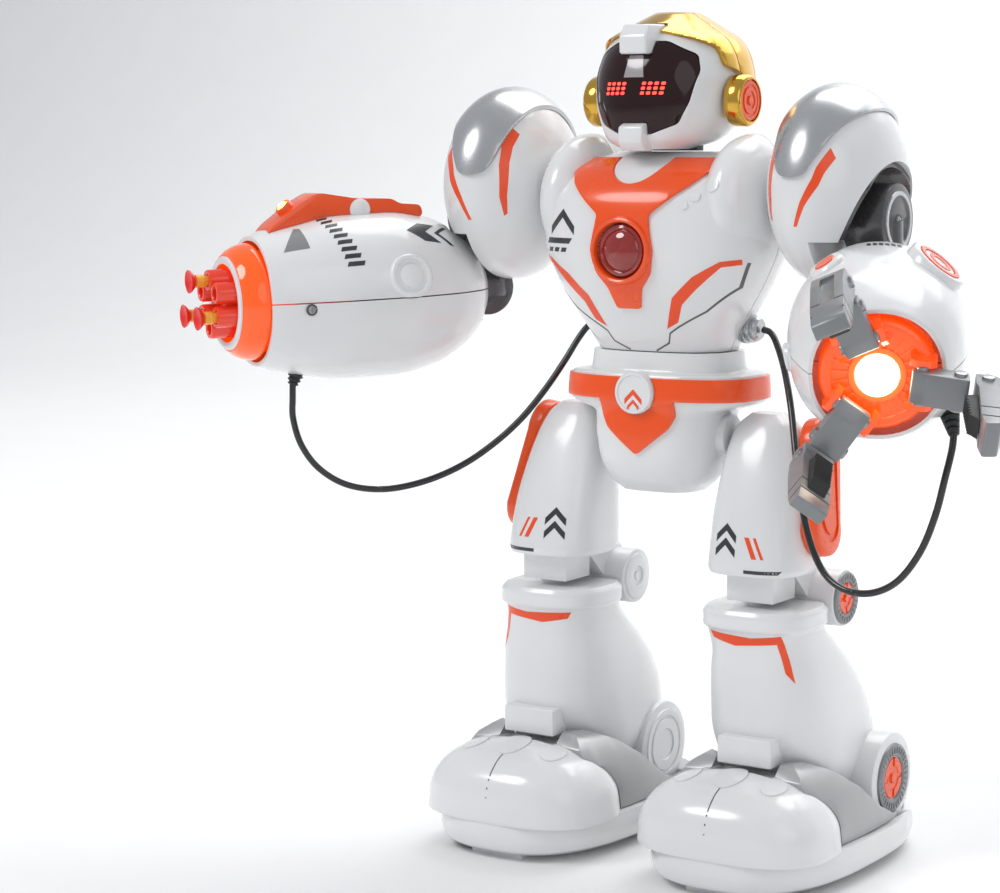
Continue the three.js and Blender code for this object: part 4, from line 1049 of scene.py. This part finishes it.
def build_leg():
    leg = "{}_thigh"
    body = loft("thigh", THIGH, 3)
    for base, shape, ink in THIGH_MARKS:
        finish_pair(sticker(base, body, shape), "{}_" + base, ink, leg)
    drum = rod("drum", 33, 81, 13.5, along_x(0, 27, 126), 56, 0.8)
    bracket = prism("bracket", [(-4, 143), (27, 115), (35, 136), (8, 160)], "X", 44, 68)
    body = cut(body, drum, bracket, block("block", (44, 68), (-22, 0), (129, 143)), operation="UNION")
    finish_pair(bevelled(body, 0.5, 40), "{}_thigh_shell", WHITE, leg, [leg])
    dial(along_x(80.9, 27, 126), 12.6, "{}_knee", leg, 24)

    hub = [(0, 11.4), (0.8, 11.2), (1.1, 10.6), (1.1, 5), (0.2, 4.6), (0.2, 2.2), (0.9, 2), (0.9, 0)]
    finish_pair(turned("hub", [(0, 0)] + hub, 48, shift(33.1, 27, 126) @ turn(-90, "Y")), "{}_knee_hub", WHITE, leg)
    lean = shift(84.5, 0, 164) @ turn(-9, "Y") @ shift(-84.5, 0, -164)
    outline = [(1 + 14 * math.cos(a), 164 + 14 * math.sin(a)) for a in np.linspace(math.pi, 2 * math.pi, 24)]
    outline += [(11 + 14 * math.cos(a), 200 + 14 * math.sin(a)) for a in np.linspace(0, math.pi, 24)]
    panel = bevelled(prism("panel", outline, "X", 76, 84.5), 1.8, 40, 3)
    channel = [(6 + (y - 6) * 0.66, 182 + (z - 182) * 0.8) for y, z in outline]
    core = [(6 + (y - 6) * 0.46, 182 + (z - 182) * 0.7) for y, z in outline]
    groove = cut(prism("groove", channel, "X", 83.7, 90), prism("core", core, "X", 80, 95))
    panel = moved(cut(panel, groove), lean)
    panel = cut(panel, loft("inside", THIGH, 3, 0.2))
    finish_pair(panel, "{}_panel_cover", ORANGE, leg, ["{}_thigh_panel"])

    shin = loft("shin", SHIN, 2.8)
    finish_pair(sticker("stripe", shin, SHIN_STRIPE), "{}_shin_stripe", ORANGE_PRINT, "{}_shin")
    ankle = rod("ankle", 26, 99, 22, along_x(0, 44, 38), 72, 1.2)
    strap = bevelled(block("strap", (45, 73), (-32, -12), (54, 67)), 1)
    shin = cut(shin, ankle, strap, operation="UNION")
    shin = cut(shin, rod("knee_room", 0, 200, 15.1, along_x(0, 27, 126), 56))
    finish_pair(bevelled(shin, 0.6, 40), "{}_shin_shell", WHITE, "{}_shin", ["{}_shin"])
    hub = [(0, 0), (0, 18), (0.9, 17.6), (0.9, 14.8), (0.2, 14.4), (0.2, 13.4), (1, 13), (1, 8), (0.3, 7.6), (0.3, 0)]
    finish_pair(turned("hub", hub, 64, shift(26.1, 44, 38) @ turn(-90, "Y")), "{}_ankle_hub", WHITE, "{}_shin")
    dial(along_x(98.9, 44, 38), 16.8, "{}_ankle", "{}_shin", 32)

    def shin_room():
        return [loft("room", SHIN, 2.8, 3.6), rod("room", 23.8, 101.2, 24.2, along_x(0, 44, 38), 56),
                block("room", (42.5, 75.5), (-36, -12), (50, 80))]

    pads = [block("pad", (45, 73), (-60, -50), (0, 5)), block("pad", (37, 81), (60, 78), (0, 5))]
    foot = cut(loft("foot", SOLE, 2.7), loft("toe", TOE, 2.7), *pads, operation="UNION")
    ovals = []
    for x, size in ((37, 5.5), (59, 7), (81, 5.5)):
        shape = [(x + size * math.cos(a), -44 + size * 1.5 * math.sin(a)) for a in np.linspace(0, 2 * math.pi, 29)[:-1]]
        ovals.append(sticker("oval", foot, shape, u=(1, 0, 0), v=(0, 1, 0), lift=0.7, thick=0.8))
    finish_pair(merged("ovals", ovals), "{}_toe_ovals", WHITE, "{}_foot")
    # The toe seam is a dark strip of painted shade.
    seam = sticker("seam", foot, line([(59, -70), (59, -30)], 0.7), u=(1, 0, 0), v=(0, 1, 0), lift=0.05)
    finish_pair(seam, "{}_toe_seam", RECESS_SHADE, "{}_foot")
    foot = cut(foot, rod("wheel_room", 71.8, 88.2, 12.2, along_x(0, -46, 11.4), 48),
               block("below", (71.8, 88.2), (-58.2, -33.8), (-1, 11)), *shin_room())
    finish_pair(bevelled(foot, 0.6, 40), "{}_foot_body", WHITE, "{}_foot", ["{}_foot_shell"])
    deck = cut(prism("deck", DECK_PROFILE, "X", 9, 109, 1), loft("plan", DECK_PLAN, 2.7, straight=True),
               operation="INTERSECT")
    deck = cut(deck, *shin_room(), loft("toe", TOE, 2.7, 0.3), loft("sole", SOLE, 2.7, 0.1))
    finish_pair(bevelled(deck, 0.5, 40), "{}_deck_cover", DECK_SILVER, "{}_foot", ["{}_foot_deck"])
    tread = [(-7, 0), (-7, 8.6), (-6.2, 10.4)]
    for k in range(6):
        tread += [(-5.4 + k * 2, 11), (-4.2 + k * 2, 11), (-4.1 + k * 2, 10.5), (-3.5 + k * 2, 10.5)]
    tread = tread[:-2] + [(6.2, 10.4), (7, 8.6), (7, 0)]
    finish_pair(turned("wheel", tread, 48, along_x(80, -46, 11.4)), "{}_wheel_tyre", RUBBER, "{}_wheel",
                ["{}_drive_wheel"])


# ---- studio -------------------------------------------------------------------------------------------
def add_studio():
    """A pale paper sweep: a floor that curves up behind the robot."""
    curve = [(-4, 0), (1.6, 0)]
    curve += [(1.6 + 1.2 * math.sin(a), 1.2 - 1.2 * math.cos(a)) for a in np.linspace(0.1, math.pi / 2, 12)]
    curve += [(2.8, 4)]
    vertices = [(x, y, z) for y, z in curve for x in (-5, 5)]
    faces = [[2 * i, 2 * i + 1, 2 * i + 3, 2 * i + 2] for i in range(len(curve) - 1)]
    floor = made("floor", vertices, faces)
    floor.data.materials.append(shader("floor_paper", (0.9, 0.9, 0.9), 0.65, edge_lightening=0.0, mottle=0.01))
    floor.data.shade_smooth()
    world = bpy.data.worlds.new("studio")
    world.use_nodes = True
    world.node_tree.nodes["Background"].inputs["Color"].default_value = (0.93, 0.96, 1.0, 1)
    world.node_tree.nodes["Background"].inputs["Strength"].default_value = 0.5
    bpy.context.scene.world = world
    for name, place, size, power in [
        ("key", (-1.0, -1.4, 1.8), 1.0, 19),
        ("fill", (1.7, -1.0, 1.0), 1.6, 5),
        ("rim", (0.3, 1.3, 1.5), 1.2, 3),
        ("paper", (0, 1.6, 2.6), 2.6, 55),
    ]:
        data = bpy.data.lights.new(name, "AREA")
        data.shape = "DISK"
        data.size = size
        data.energy = power
        light = bpy.data.objects.new(name, data)
        bpy.context.scene.collection.objects.link(light)
        light.location = place
        aim = (Vector((0, 2.4, 0.9)) if name == "paper" else Vector((0, 0, 0.2))) - light.location
        light.rotation_euler = aim.to_track_quat("-Z", "Y").to_euler()
    bpy.context.scene.view_settings.view_transform = "Standard"


# CAD nodes that stay as they are, deep in the shells, get their finish.
KEPT = {"neck_post": BLACK, "main_board": BOARD_GREEN, "battery_pack": BLACK, "eye_led_board": BOARD_GREEN,
        "power_switch": BLACK}


def finish_kept_nodes():
    for name, material in KEPT.items():
        node = frame["nodes"][name]
        node.data.materials.clear()
        node.data.materials.append(material)


add_camera()
add_cables()
build_torso()
build_head()
build_upper_arms()
build_launcher()
build_claw()
build_pelvis()
build_leg()
add_studio()
finish_kept_nodes()
